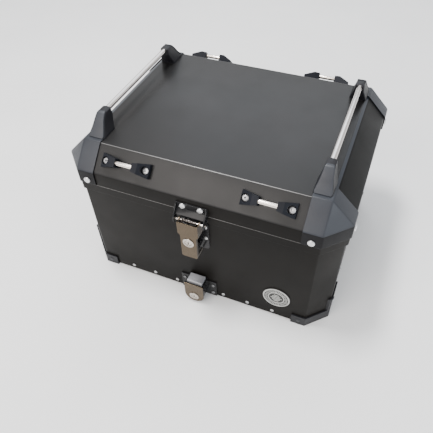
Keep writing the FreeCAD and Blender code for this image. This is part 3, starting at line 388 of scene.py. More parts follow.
# %% Camera
CAMERA_PLACE = Vector((213.9, -564.8, 665.2)) * MM
CAMERA_AIM = Vector((-27.8, 0.0, 17.6)) * MM
CAMERA_ROLL = math.radians(-1.60)
CAMERA_LENS = 38.8
CAMERA_SHIFT = (-0.0126, -0.0105)
camera = bpy.data.objects.new("camera", bpy.data.cameras.new("camera"))
bpy.context.scene.collection.objects.link(camera)
camera.data.lens = CAMERA_LENS
camera.data.shift_x, camera.data.shift_y = CAMERA_SHIFT
camera.data.clip_start = 10 * MM
camera.location = CAMERA_PLACE
camera.rotation_mode = "QUATERNION"
level = (CAMERA_AIM - CAMERA_PLACE).to_track_quat("-Z", "Y")
camera.rotation_quaternion = level @ Quaternion((0, 0, 1), CAMERA_ROLL)
bpy.context.scene.camera = camera
print("camera", round((CAMERA_AIM - CAMERA_PLACE).length, 3), "m from its aim")

# %% [markdown]
# ## Folded lid sheet
# The lid is one aluminium sheet: flat top, four slopes at 45 degrees, an upright skirt, and a
# small facet at each corner. It is drawn as the outer skin only, with sharp folds. Then the
# folds are bevelled to the bend radius, and Solidify gives the sheet its thickness inwards,
# which is how real sheet behaves: the inside radius comes out smaller by the thickness.

# %% A folded skin with a thickness
FOLD_STEPS = 5
FOLDED_ABOVE = 0.1


def skin_piece(name, points, faces, fold, thick, finish, rim=0.35 * MM):
    """A skin of faces over named points, with its inner edges folded, thickened inwards."""
    bm = bmesh.new()
    made = {key: bm.verts.new(place) for key, place in points.items()}
    for face in faces:
        bm.faces.new([made[key] for key in face])
    bmesh.ops.recalc_face_normals(bm, faces=bm.faces)
    middle = sum((v.co for v in bm.verts), Vector()) / len(bm.verts)
    bm.faces.ensure_lookup_table()
    if bm.faces[0].normal.dot(bm.faces[0].calc_center_median() - middle) < 0:
        bmesh.ops.reverse_faces(bm, faces=bm.faces)
    folds = [e for e in bm.edges if len(e.link_faces) == 2 and e.calc_face_angle() > FOLDED_ABOVE]
    bmesh.ops.bevel(bm, geom=folds, offset=fold, segments=FOLD_STEPS, profile=0.5, affect="EDGES",
                    clamp_overlap=True)
    mesh = bpy.data.meshes.new(name)
    bm.to_mesh(mesh)
    bm.free()
    piece = object_from(name, mesh, finish)
    wall = piece.modifiers.new("thickness", "SOLIDIFY")
    wall.thickness = thick
    wall.offset = -1
    wall.use_even_offset = True
    settle(piece)
    settle(round_edges(piece, rim, 2, above=60))
    return piece

# %% [markdown]
# Every level of the lid is the same chamfered plan at its own inset, so one function gives the
# plan. When the plan moves in by an inset, the ends of its 45 degree sides slide along by a
# fixed share of it, the tangent of 22.5 degrees, which is DIAGONAL here. The front and rear
# folds of the lid are crisp, but the long side folds under the rails are rolled over broadly, so
# they get a flat band of their own.

# %% The lid's outline and faces
DIAGONAL = math.sqrt(2) - 1
FOLD_R = 1.9 * MM
SIDE_FOLD_IN, SIDE_FOLD_OUT = 3.5 * MM, 2.5 * MM


def outline(inset):
    """The eight corners of the chamfered plan, moved in by inset, anticlockwise."""
    x, y = HALF_W - inset, HALF_D - inset
    near_x, near_y = TOP_HALF_W - inset * DIAGONAL, TOP_HALF_D - inset * DIAGONAL
    half = [(near_x, -y), (x, -near_y), (x, near_y), (near_x, y)]
    return half + [(-px, -py) for px, py in half]


def lid_skin(inset):
    """Points and faces of the lid; the long side folds are flattened to a broad soft band."""
    points, faces = {}, []
    top_z, slope_z = TOP_Z - inset, SLOPE_Z - inset * DIAGONAL
    for k, (x, y) in enumerate(outline(inset)):
        points["low", k] = (x, y, LID_Z)
        points["mid", k] = (x, y, slope_z)
        faces.append((("low", k), ("low", (k + 1) % 8), ("mid", (k + 1) % 8), ("mid", k)))
    top_x, top_y = TOP_HALF_W - inset * DIAGONAL, TOP_HALF_D - inset * DIAGONAL
    for c, (sx, sy) in enumerate(((1, -1), (1, 1), (-1, 1), (-1, -1))):
        points["top", c] = (sx * (top_x - SIDE_FOLD_IN), sy * top_y, top_z)
        points["side", c] = (sx * (top_x + SIDE_FOLD_OUT), sy * top_y, top_z - SIDE_FOLD_OUT)
        first, ahead = 2 * c, (c + 1) % 4
        facet = [("mid", first), ("mid", first + 1)]
        if c % 2 == 0:
            faces.append((*facet, ("side", c), ("top", c)))
            faces.append((("mid", first + 1), ("mid", first + 2), ("side", ahead), ("side", c)))
            faces.append((("side", c), ("side", ahead), ("top", ahead), ("top", c)))
        else:
            faces.append((*facet, ("top", c), ("side", c)))
            faces.append((("mid", first + 1), ("mid", (first + 2) % 8), ("top", ahead), ("top", c)))
    faces.append(tuple(("top", c) for c in range(4)))
    return points, faces


lid_points, lid_faces = lid_skin(CAP_T)
lid_sheet = skin_piece("lid_sheet", lid_points, lid_faces, FOLD_R, SHEET_T, lid_black)
print("lid sheet:", len(lid_sheet.data.polygons), "faces")

# %% [markdown]
# The lid's finish now goes on face by face. Each rule looks at a face's normal and middle: the
# skirt is upright, the side slopes lean out, the band lies between the top and a side slope, the
# inside faces look at the heart of the lid, and the pale line is the middle of the bend between
# the top and the front or rear slope. The skirt and side slopes get painted shade, the band gets a
# painted sky reflection, and the pale line gets a painted highlight that also stands for worn paint.
# A rule that comes later wins where two of them meet.

# %% Finishes of the lid by face
UPRIGHT = 0.3
FOLD_TURN = math.radians(45)
HIGHLIGHT_WEAR_SPAN = FOLD_TURN / 11
LID_HEART = Vector((0, 0, LID_Z - 60 * MM))


def upright(normal, middle):
    """Faces that stand nearly straight up."""
    return abs(normal.z) < UPRIGHT


def middle_of_fold(normal, middle):
    """The narrow middle strip of the long folds between the top and the front or rear slope."""
    lean = math.atan2(abs(normal.y), normal.z)
    return middle.z > SLOPE_Z and abs(normal.x) < 0.05 and abs(lean - FOLD_TURN / 2) < HIGHLIGHT_WEAR_SPAN


def side_slope(normal, middle):
    """The slopes at the left and right sides."""
    return abs(normal.x) > 0.5 and normal.z > UPRIGHT


def side_band(normal, middle):
    """The broad soft band between the top and a side slope."""
    return 0.25 < abs(normal.x) < 0.5 and normal.z > 0.8


def faces_in(normal, middle):
    """The inside of the sheet, seen from the heart of the lid."""
    return normal.dot(middle - LID_HEART) < 0


# Painted shade on the skirt and side slopes, a painted sky reflection on the band, a painted highlight on the
# fold's middle.
refinish(lid_sheet, painted_shade_black, upright)
refinish(lid_sheet, side_shade_black, side_slope)
refinish(lid_sheet, band_sky_reflection_black, side_band)
refinish(lid_sheet, inner_black, faces_in)
print("painted highlight and wear fold faces:", refinish(lid_sheet, highlight_and_wear_black, middle_of_fold))
hand_over(lid_sheet, "lid_shell")

# %% [markdown]
# ## Corner caps
# Each lid corner is covered by a moulded cap that laps over the sheet. It is the same skin at
# no inset, cut to one corner. One quarter is drawn and the other three are mirrored in its
# points, and the skin helper then turns the faces outwards. Its upright faces take a darker copy
# of the plastic as painted shade.

# %% Four corner caps
CAP_FOLD = 1.8 * MM
CAP_RIM = 0.5 * MM


def cap_skin(sx, sy):
    """Points and faces of one cap; sx and sy say which corner."""
    x_edge, y_edge = CAP_EDGE_X, CAP_EDGE_Y
    row = {"a": (x_edge, HALF_D), "b": (TOP_HALF_W, HALF_D), "c": (HALF_W, TOP_HALF_D),
           "d": (HALF_W, y_edge)}
    points = {}
    for key, (x, y) in row.items():
        points[key + "0"] = (sx * x, -sy * y, LID_Z)
        points[key + "1"] = (sx * x, -sy * y, SLOPE_Z)
    tops = {"a2": (x_edge, TOP_HALF_D), "b2": (TOP_HALF_W, TOP_HALF_D),
            "d2": (TOP_HALF_W, y_edge), "e2": (x_edge, y_edge)}
    for key, (x, y) in tops.items():
        points[key] = (sx * x, -sy * y, TOP_Z)
    faces = [("a0", "b0", "b1", "a1"), ("b0", "c0", "c1", "b1"), ("c0", "d0", "d1", "c1"),
             ("a1", "b1", "b2", "a2"), ("b1", "c1", "b2"), ("c1", "d1", "d2", "b2"),
             ("a2", "b2", "d2", "e2")]
    return points, faces


for corner, (sx, sy) in CORNERS.items():
    points, faces = cap_skin(sx, sy)
    cap = skin_piece("corner_cap_" + corner, points, faces, CAP_FOLD, CAP_T, plastic_black, CAP_RIM)
    # The cap's upright faces get the darker copy as painted shade.
    refinish(cap, plastic_skirt_shade, upright)
    hand_over(cap, "lid_cap_" + corner)
print("corner caps:", len(CORNERS), "of", len(cap.data.polygons), "faces")

# %% [markdown]
# ## Rings that follow the outline
# The body wall, the rim frame and the lid seal are all profiles carried once round the same
# chamfered plan. Real ones are bent from strip, so their corners have a bend radius. Each
# profile point is an inset and a height, and the radius shrinks as the inset grows.

# %% A profile carried round the plan
BEND_STEPS = 4
TIGHTEST_BEND = 0.3 * MM


def bent_outline(inset, radius):
    """The plan with its eight corners rounded, as a list of points that match between insets."""
    corners = [Vector((x, y)) for x, y in outline(inset)]
    points = []
    for k, corner in enumerate(corners):
        back = (corners[k - 1] - corner).normalized()
        ahead = (corners[(k + 1) % 8] - corner).normalized()
        half_turn = (math.pi - back.angle(ahead)) / 2
        middle = corner + (back + ahead).normalized() * (radius / math.cos(half_turn))
        start = corner + back * (radius * math.tan(half_turn)) - middle
        end = corner + ahead * (radius * math.tan(half_turn)) - middle
        sweep = start.angle(end)
        for step in range(BEND_STEPS + 1):
            share = step / BEND_STEPS
            spoke = start * math.sin((1 - share) * sweep) + end * math.sin(share * sweep)
            points.append(middle + spoke / math.sin(sweep))
    return points


def ring_piece(name, profile, radius, finish, edge, node):
    """Carry (inset, height) points round the plan; radius is the outermost bend."""
    bm = bmesh.new()
    first_inset = min(inset for inset, height in profile)
    rows = []
    for inset, height in profile:
        bend = max(radius - (inset - first_inset), TIGHTEST_BEND)
        rows.append([bm.verts.new((p.x, p.y, height)) for p in bent_outline(inset, bend)])
    count = len(rows[0])
    for r, row in enumerate(rows):
        above = rows[(r + 1) % len(rows)]
        for k in range(count):
            bm.faces.new((row[k], row[(k + 1) % count], above[(k + 1) % count], above[k]))
    piece = piece_from(name, bm, finish)
    settle(round_edges(piece, edge, 2, above=50))
    return hand_over(piece, node)


print("one turn of the plan:", len(bent_outline(0, WALL_INSET)), "points")

# %% [markdown]
# The wall is plain strip. The rim frame is folded over the wall's top edge, so its section is a
# channel, and its outer top edge gets a pale strip, a painted highlight that also stands for paint
# worn by the lid. The seal is a soft strip with a rounded lip that hangs from the lid and presses
# on the rim.

# %% Body wall, rim frame and seal
WALL_T = 1.5 * MM
WEB_T = 2 * MM
RIM_PLAY = 0.1 * MM
HIGHLIGHT_WEAR_DEEP = 1.2 * MM
rim_low, rim_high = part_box("rim_frame")
seal_low, seal_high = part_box("lid_seal")


def outer_top_edge(normal, middle):
    """Faces of the rounded edge on top of the outer side of a ring."""
    rounded = 0.25 < normal.z < 0.97 and middle.z > rim_high.z - HIGHLIGHT_WEAR_DEEP
    return rounded and normal.xy.dot(middle.xy) > 0


wall_profile = [(WALL_INSET, wall_low.z), (WALL_INSET, wall_high.z),
                (WALL_INSET + WALL_T, wall_high.z), (WALL_INSET + WALL_T, wall_low.z)]
rim_in = WALL_INSET + 2 * WALL_T
slot_in, slot_out = rim_in - WALL_T + RIM_PLAY, WALL_INSET - RIM_PLAY
rim_profile = [
    (CAP_T, rim_low.z), (CAP_T, rim_high.z), (rim_in, rim_high.z), (rim_in, rim_low.z),
    (slot_in, rim_low.z), (slot_in, rim_high.z - WEB_T),
    (slot_out, rim_high.z - WEB_T), (slot_out, rim_low.z)]
SEAL_W = 4 * MM
LIP_IN, LIP_UP, LIP_STEP = 0.9 * MM, 1.4 * MM, 0.2 * MM
seal_out = HALF_W - seal_high.x
seal_in = seal_out + SEAL_W
seal_profile = [
    (seal_out + RIM_PLAY, seal_high.z), (seal_out + RIM_PLAY, seal_low.z + LIP_UP),
    (seal_out + LIP_IN, seal_low.z + LIP_STEP), (seal_out + SEAL_W / 2, seal_low.z),
    (seal_in - LIP_IN, seal_low.z + LIP_STEP), (seal_in, seal_low.z + LIP_UP), (seal_in, seal_high.z)]
# Wall and rim take the darker copy of the coat as painted shade.
ring_piece("body_wall", wall_profile, 4.5 * MM, painted_shade_black, 0.3 * MM, "case_wall")
rim_band = ring_piece("rim_band", rim_profile, 4.0 * MM, painted_shade_black, 0.4 * MM, "rim_frame")
# The pale strip on the rim's outer top edge is a painted highlight, and it also stands for paint worn by the
# lid.
print("painted highlight and wear edge faces:", refinish(rim_band, highlight_and_wear_black, outer_top_edge))
ring_piece("lid_gasket", seal_profile, 3.0 * MM, rubber_black, 0.3 * MM, "lid_seal")
print("section points:", [len(profile) for profile in (wall_profile, rim_profile, seal_profile)])

# %% [markdown]
# ## Rail posts and their covers
# A post is a soft moulded form: wide at the foot, waisted, and round at the head, and its
# front leans back in a gentle S. Boxes with bevels can't do that, so it is a loft: rounded
# rectangles stacked by height, each with its own width and depth from a smooth rule.

# %% Lofting rounded sections
CORNER_STEPS = 5
WIDEST_ROUND = 0.98  # a corner stops just short of the half width, so no edge closes up


def rounded_section(x, y0, y1, half_w, radius, z):
    """A rounded rectangle at height z, anticlockwise."""
    radius = min(radius, half_w * WIDEST_ROUND, (y1 - y0) * WIDEST_ROUND / 2)
    points = []
    spots = ((x + half_w - radius, y0 + radius, -90), (x + half_w - radius, y1 - radius, 0),
             (x - half_w + radius, y1 - radius, 90), (x - half_w + radius, y0 + radius, 180))
    for cx, cy, start in spots:
        for step in range(CORNER_STEPS + 1):
            a = math.radians(start + 90 * step / CORNER_STEPS)
            points.append((cx + radius * math.cos(a), cy + radius * math.sin(a), z))
    return points


def loft(rows, side=1, front=1):
    """Stack the rows to a closed form; side and front mirror it to another corner."""
    bm = bmesh.new()
    levels = [[bm.verts.new((side * x, front * y, z)) for x, y, z in row] for row in rows]
    count = len(levels[0])
    for low, high in zip(levels, levels[1:]):
        for k in range(count):
            bm.faces.new((low[k], low[(k + 1) % count], high[(k + 1) % count], high[k]))
    bm.faces.new(levels[0])
    bm.faces.new(levels[-1])
    return bm

# %% [markdown]
# The sizes of a post are read from the boxes of its engineering pieces. Two small rules give
# the form: how far the front leans back at each height, and how wide the post is there. Both
# take a share from 0 at the foot to 1 at the head, so they don't care how tall the post is.

# %% Rules of the post
post_low, post_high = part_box("rail_post_fr")
cover_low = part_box("post_cover_fr")[0]
rail_low, rail_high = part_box("roof_rail_right")
RAIL_X = (rail_low.x + rail_high.x) / 2
POST_H = post_high.z - TOP_Z
POST_Y0 = cover_low.y
HEAD_L = 17 * MM
HEAD_Y0 = post_high.y - HEAD_L
FOOT_BACK = POST_Y0 + 34 * MM
COVER_T = 2.4 * MM
BASE_W, HEAD_W = 26 * MM, 13 * MM
LEVELS = 18
HEAD_ROUND = 2.6 * MM
S_SWING = 0.035
FLARE_POWER, FLARE_SHARE = 1.9, 0.62
BACK_STRAIGHT_FROM = 0.6


def post_front(share):
    """Y of the front at a share of the height: it leans back in a gentle S."""
    return POST_Y0 + (HEAD_Y0 - POST_Y0) * (share + S_SWING * math.sin(2 * math.pi * share))


def post_half(share):
    """Half width: flares at the foot, nearly straight above."""
    flare = FLARE_SHARE * (1 - share) ** FLARE_POWER + (1 - FLARE_SHARE) * (1 - share)
    return (HEAD_W + (BASE_W - HEAD_W) * flare) / 2


print("post width at foot and head (mm):", [round(2000 * post_half(share), 1) for share in (0, 1)])

# %% [markdown]
# The cover is a thin shell on the front of the post, clipped on from above. It follows the same
# two rules, so it fits however they are changed. Its foot and its top are rounded over by a
# quarter circle and a parabola.

# %% Four posts with their covers
COVER_FOOT, COVER_FOOT_IN = 2 * MM, 1.6 * MM
COVER_TOP_IN, COVER_TOP_BACK = 1.2 * MM, 0.9 * MM
COVER_CORNER, COVER_PLAY, COVER_DROP = 1.15 * MM, 0.05 * MM, 0.02 * MM
FOOT_CORNER, POST_CORNER = 2 * MM, 2.5 * MM
BACK_ROUND_SHARE = 0.6


def post_rows():
    rows = [rounded_section(RAIL_X, POST_Y0 + COVER_T, FOOT_BACK, post_half(0), FOOT_CORNER, post_low.z)]
    for level in range(LEVELS + 1):
        share = level / LEVELS
        z = TOP_Z + share * POST_H
        drop = max(0.0, z - (post_high.z - HEAD_ROUND))
        inset = HEAD_ROUND - math.sqrt(max(HEAD_ROUND ** 2 - drop ** 2, 0))
        back = FOOT_BACK + (post_high.y - FOOT_BACK) * min(1, share / BACK_STRAIGHT_FROM)
        rows.append(rounded_section(
            RAIL_X, post_front(share) + COVER_T + inset, back - inset * BACK_ROUND_SHARE,
            post_half(share) - inset, POST_CORNER, z))
    return rows


def cover_rows():
    rows = []
    start = (cover_low.z - TOP_Z) / POST_H
    for level in range(LEVELS + 3):
        t = level / (LEVELS + 2)
        share = start + (1 - start) * t
        z = TOP_Z + share * POST_H
        foot = max(0.0, 1 - (z - cover_low.z) / COVER_FOOT)
        drop = max(0.0, z - (post_high.z - HEAD_ROUND)) / HEAD_ROUND
        half = post_half(share) - COVER_FOOT_IN * (1 - math.sqrt(1 - foot ** 2)) - COVER_TOP_IN * drop ** 2
        y = post_front(share) + COVER_TOP_BACK * drop ** 2
        rows.append(rounded_section(
            RAIL_X, y + COVER_PLAY, y + COVER_T, half, COVER_CORNER, z - COVER_DROP))
    return rows


for corner, (sx, sy) in CORNERS.items():
    # The post takes the darker copy of the plastic as painted shade.
    post = piece_from("rail_foot_" + corner, loft(post_rows(), sx, sy), plastic_painted_shade)
    hand_over(post, "rail_post_" + corner)
    cover = piece_from("foot_cover_" + corner, loft(cover_rows(), sx, sy), plastic_black)
    hand_over(cover, "post_cover_" + corner)
print("rail posts and covers: 4 each, head at", round(post_high.z, 4))

# %% [markdown]
# ## Softened engineering pieces
# Brackets, plates and moulded feet already have the right form in the engineering model. Real
# ones have no knife edges, though: pressed steel rolls over and moulds have radii. A copy of
# the engineering mesh is welded, its flat faces are joined up, and its edges are bevelled.

# %% Copy a node and soften its edges
def softened(node, finish, width, steps=3, above=30):
    """A softened copy of an engineering piece, handed over in its place."""
    bm = bmesh.new()
    bm.from_mesh(frame["nodes"][node].data)
    bmesh.ops.remove_doubles(bm, verts=bm.verts, dist=WELD)
    bmesh.ops.dissolve_limit(bm, angle_limit=math.radians(1.5), verts=bm.verts, edges=bm.edges)
    mesh = bpy.data.meshes.new(node + "_soft")
    bm.to_mesh(mesh)
    bm.free()
    piece = object_from(node + "_soft", mesh, finish)
    settle(round_edges(piece, width, steps, above))
    return hand_over(piece, node)


# The lower hinge leaf takes the darker painted-shade coat, and the release plate takes the stainless darkened
# to a painted warm reflection.
SOFTENED = (
    ("hasp_bracket", gloss_black, 0.5), ("hasp_base", gloss_black, 0.5), ("hasp_catch", gloss_black, 0.4),
    ("hasp_cam", gloss_black, 0.4), ("hasp_flap", warm_reflection_stainless, 0.35),
    ("hinge_leaf_lid", lid_black, 0.4), ("hinge_leaf_body", painted_shade_black, 0.4),
    ("floor_tray", inner_black, 0.5), ("dock_slot_frames", gloss_black, 0.5),
    ("release_housing", gloss_black, 0.6), ("release_plate", warm_reflection_stainless, 0.4),
    ("release_tongue", gloss_black, 0.3), ("release_button", button_metal, 0.5))
for corner in CORNERS:
    # Guards and loop feet take darker copies of the plastic as painted shade.
    softened("corner_guard_" + corner, plastic_painted_shade, 0.9 * MM)
    softened("loop_feet_" + corner, plastic_foot_shade, 0.8 * MM)
soft = {node: softened(node, finish, edge_mm * MM) for node, finish, edge_mm in SOFTENED}

# %% [markdown]
# The flap of the upper lock is a deep pressed tray of brushed stainless. It is one of the softened
# pieces, and the rear edges of its side walls are now drawn back towards the case, because a flap
# lifted with a fingertip has walls deep enough to grip. Moving the vertices by a rule on their
# place keeps the face and the pin's eye where they are. The sides aren't brushed after
# pressing, so they are duller than the face.

# %% The flap
WALL_STRETCH = 8 * MM
EYE_CLEAR, EYE_DROP = 1.2 * MM, 3 * MM
pin_low, pin_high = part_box("hasp_pin")
pin_y = (pin_low.y + pin_high.y) / 2
flap = soft["hasp_flap"]
stretched = [v for v in flap.data.vertices
             if v.co.y > pin_y + EYE_CLEAR and v.co.z < pin_low.z - EYE_DROP]
for vertex in stretched:
    vertex.co.y += WALL_STRETCH


def side_wall(normal, middle):
    """Faces that look left or right."""
    return abs(normal.x) > 0.7


print("flap wall points:", len(stretched), "dull faces:", refinish(flap, flap_side, side_wall))

# %% [markdown]
# ## Turned parts
# Rails, pins, screw heads and lock cylinders are all turned or round. A lathe helper takes a
# list of (radius, height) pairs and spins it round Z. The finished form is then laid along
# whatever line it needs.

# %% The lathe
def spun(profile, steps=32):
    """A closed form from (radius, height) pairs, spun round Z; a zero radius makes a pole."""
    bm = bmesh.new()
    rows = []
    for radius, height in profile:
        if radius < 1e-7:
            rows.append([bm.verts.new((0, 0, height))])
            continue
        rows.append([bm.verts.new((radius * math.cos(2 * math.pi * k / steps),
                                   radius * math.sin(2 * math.pi * k / steps), height))
                     for k in range(steps)])
    for low, high in zip(rows, rows[1:]):
        for k in range(steps):
            ahead = (k + 1) % steps
            corners = (low[k % len(low)], low[ahead % len(low)],
                       high[ahead % len(high)], high[k % len(high)])
            bm.faces.new(list(dict.fromkeys(corners)))
    return bm


def laid(bm, place, out):
    """Turn a form built along +Z so that it looks along out, standing on place."""
    turn = Vector((0, 0, 1)).rotation_difference(Vector(out)).to_matrix().to_4x4()
    bm.transform(Matrix.Translation(place) @ turn)
    return bm


def bar_profile(length, radius, rounding, steps=4):
    """A straight bar whose two rims are rounded."""
    ends = []
    for step in range(steps + 1):
        a = math.radians(90 * step / steps)
        ends.append((radius - rounding + rounding * math.sin(a), rounding - rounding * math.cos(a)))
    far = [(r, length - h) for r, h in reversed(ends)]
    return [(0, 0)] + ends + far + [(0, length)]


def merged(name, parts, finish):
    """Join several bmeshes to one piece."""
    whole = bmesh.new()
    for bm in parts:
        mesh = bpy.data.meshes.new("part")
        bm.to_mesh(mesh)
        bm.free()
        whole.from_mesh(mesh)
        bpy.data.meshes.remove(mesh)
    return piece_from(name, whole, finish)

# %% [markdown]
# The two roof rails, the two pins and the four short tie bars are plain bars with rounded ends.
# Rails and pins lie along an axis, so the box of the engineering piece gives their whole length
# and their ends stay in their sockets. The tie bars lie over the 45 degree slopes, so they are
# set out from the middle of the slope instead.

# %% Rails, tie bars and pins
LOOP_X = 105 * MM
ROD_RISE = 10 * MM
LOOP_ROD_R = 3.2 * MM
LOOP_ROD_HALF = 18.5 * MM
LOOP_ROD_RIM = 0.6 * MM
SLOPE_OUT = Vector((0, -1, 1)).normalized()
SLOPE_MID = Vector((0, -(HALF_D + TOP_HALF_D) / 2, (SLOPE_Z + TOP_Z) / 2))
LOOP_BASE = SLOPE_MID - SLOPE_OUT * CAP_T


def other_side(point, side, front):
    """The same place at another corner of the case."""
    return Vector((side * point.x, front * point.y, point.z))


def bar_between(start, end, radius, rounding, steps=32):
    run = end - start
    return laid(spun(bar_profile(run.length, radius, rounding), steps), start, run.normalized())


def box_bar(node, axis, steps=32, rounding=0.5 * MM):
    """A bar along an axis that fills the box of a node."""
    low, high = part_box(node)
    middle = (low + high) / 2
    start, end = middle.copy(), middle.copy()
    start[axis], end[axis] = low[axis], high[axis]
    radius = (high[(axis + 1) % 3] - low[(axis + 1) % 3]) / 2
    return bar_between(start, end, radius, rounding, steps)


# Rails take the steel with its faint painted warm reflection.
for side in ("left", "right"):
    rail = piece_from("rail_bar_" + side, box_bar("roof_rail_" + side, 1, 48), rail_steel_warm_reflection)
    hand_over(rail, "roof_rail_" + side)
tie_bars = []
for side, front in CORNERS.values():
    middle = other_side(LOOP_BASE + SLOPE_OUT * ROD_RISE + Vector((LOOP_X, 0, 0)), side, front)
    half = Vector((LOOP_ROD_HALF, 0, 0))
    tie_bars.append(bar_between(middle - half, middle + half, LOOP_ROD_R, LOOP_ROD_RIM))
hand_over(merged("tie_bars", tie_bars, bar_steel), "loop_rods")
hand_over(piece_from("lock_hinge_pin", box_bar("hasp_pin", 0), plated), "hasp_pin")
# The lid's hinge pin uses the stainless with its painted warm reflection.
hand_over(piece_from("lid_hinge_pin", box_bar("hinge_pin", 0), warm_reflection_stainless), "hinge_pin")
print("rail length", round(rail_high.y - rail_low.y, 4), "tie bars:", len(tie_bars))

# %% [markdown]
# ## Heads
# The case has four kinds of head. The corner caps have smooth round heads with a faint ring,
# the loops and the lower lock have thick heads with a hexagon socket, the lock bracket has
# slotted pan heads, and the rivets are low domes. All start from the same domed profile. Each
# head is made once, standing on the origin and looking up, and the node tree below copies it.

# %% Head profiles
DOME_STEPS = 6
CROWN = 0.55  # share of the radius that the dome curls in


def head_object(name, bm):
    """A head that stays out of the scene, to be copied."""
    bmesh.ops.recalc_face_normals(bm, faces=bm.faces)
    mesh = bpy.data.meshes.new(name)
    bm.to_mesh(mesh)
    bm.free()
    mesh.shade_smooth()
    mesh.set_sharp_from_angle(angle=SMOOTH_BELOW)
    return bpy.data.objects.new(name, mesh)


def domed(radius, height, shank_r, shank_l, rim=0.35):
    """Profile of a head from its shank up: shank, flat under, rim, then a dome to the top."""
    rows = [(0, -shank_l), (shank_r, -shank_l), (shank_r, 0), (radius, 0), (radius, rim * height)]
    for step in range(1, DOME_STEPS + 1):
        a = math.radians(90 * step / DOME_STEPS)
        rows.append((radius * (1 - CROWN + CROWN * math.cos(a)), height * (rim + (1 - rim) * math.sin(a))))
    return rows


def ringed_head(radius, height, shank_r, shank_l):
    """A smooth head with one shallow turned ring."""
    rows = domed(radius, height, shank_r, shank_l)
    ring_out, floor_out, floor_in, ring_in = (share * radius for share in (0.40, 0.37, 0.30, 0.26))
    ring_z = 0.86 * height
    return spun(rows + [(ring_out, height), (floor_out, ring_z), (floor_in, ring_z),
                        (ring_in, height), (0, height)], 40)


def rivet_head(radius, height, shank_r, shank_l):
    return spun(domed(radius, height, shank_r, shank_l, 0.2) + [(0, height)], 24)


print("dome rows:", len(domed(1.0, 1.0, 0.4, 1.0)))

# %% [markdown]
# A hexagon socket can't be spun, because its walls are flat. Its rows are still rings of points,
# but their radius follows a hexagon. The socket goes deeper than the head, as a real one does,
# so no light comes back from its floor and it looks black.

# %% A head with a hexagon socket
SOCKET_STEPS = 48
SOCKET_SHARE, SOCKET_LEAD = 0.36, 1.25
SOCKET_DEEP = 1.9
LEAD_DEEP = 0.12


def hexagon(radius, angle):
    """Distance from the middle of a hexagon to its side at an angle."""
    wedge = math.radians(60)
    return radius * math.cos(wedge / 2) / math.cos((angle % wedge) - wedge / 2)


def socket_head(radius, height, shank_r, shank_l):
    """A thick head with a hexagon socket; the inner rows follow the hexagon."""
    turns = [2 * math.pi * k / SOCKET_STEPS for k in range(SOCKET_STEPS)]
    hex_r = SOCKET_SHARE * radius
    outer = domed(radius, height, shank_r, shank_l, 0.45)[1:-3]
    bm = bmesh.new()
    rows = [[bm.verts.new((r * math.cos(a), r * math.sin(a), h)) for a in turns] for r, h in outer]
    for side_r, h in ((SOCKET_LEAD * hex_r, height), (hex_r, height - LEAD_DEEP * radius),
                      (hex_r, height - SOCKET_DEEP * height)):
        rows.append([bm.verts.new((hexagon(side_r, a) * math.cos(a), hexagon(side_r, a) * math.sin(a), h))
                     for a in turns])
    for low, high in zip(rows, rows[1:]):
        for k in range(SOCKET_STEPS):
            ahead = (k + 1) % SOCKET_STEPS
            bm.faces.new((low[k], low[ahead], high[ahead], high[k]))
    bm.faces.new(rows[0])
    bm.faces.new(rows[-1])
    return bm

# %% [markdown]
# Slots and keyways are milled straight through a round face. A Boolean with a small block does
# the same, and works on any form. With that, all five heads of the case can be made.

# %% Slots, and the five heads
def carved(name, bm, cutter_size, cutter_place, finish=zinc):
    """A form with a straight slot cut in it."""
    form = piece_from(name, bm, finish)
    slot_bm = bmesh.new()
    bmesh.ops.create_cube(slot_bm, size=1, matrix=Matrix.Translation(cutter_place)
                          @ Matrix.Diagonal((*cutter_size, 1)))
    cutter = piece_from(name + "_slot", slot_bm, finish)
    cut = form.modifiers.new("slot", "BOOLEAN")
    cut.operation = "DIFFERENCE"
    cut.solver = "EXACT"
    cut.object = cutter
    settle(form)
    bpy.data.objects.remove(cutter)
    form.data.shade_smooth()
    form.data.set_sharp_from_angle(angle=SMOOTH_BELOW)
    return form


SCREW_R, RIVET_R = 2 * MM, 1.6 * MM
PAN_R, PAN_H = 4.6 * MM, 2.4 * MM
PAN_SLOT = (9.6 * MM, 1.1 * MM, 2.0 * MM)
cap_head = head_object("cap_head", ringed_head(5.0 * MM, 2.4 * MM, SCREW_R, CAP_T + SHEET_T))
loop_head = head_object("loop_head", socket_head(5.3 * MM, 3.2 * MM, SCREW_R, 4.8 * MM))
rivet_one = head_object("rivet_one", rivet_head(3.0 * MM, 1.2 * MM, RIVET_R, 3.0 * MM))
small_screw = head_object("small_screw", socket_head(3.0 * MM, 1.8 * MM, 1.5 * MM, 3.0 * MM))
pan_form = spun(domed(PAN_R, PAN_H, SCREW_R, 4 * MM) + [(0, PAN_H)], 40)
pan_head = carved("pan_head", pan_form, PAN_SLOT, (0, 0, PAN_H))
bpy.context.scene.collection.objects.unlink(pan_head)
HEADS = (cap_head, loop_head, rivet_one, small_screw, pan_head)
print("heads and their faces:", {head.name: len(head.data.polygons) for head in HEADS})

# %% [markdown]
# ## Rows of fasteners with Geometry Nodes
# A riveter works along a line at a fixed pitch, and so does this node tree. Mesh Line lays the
# points, Instance on Points sets a turned head on each, and Realize Instances makes them real.
# One tree does every row; only its inputs change.

# %% The row tree
def node_group_inputs(group, sockets):
    """Named inputs for a tree, and one geometry output."""
    for name, kind in sockets:
        group.interface.new_socket(name, in_out="INPUT", socket_type=kind)
    group.interface.new_socket("Geometry", in_out="OUTPUT", socket_type="NodeSocketGeometry")


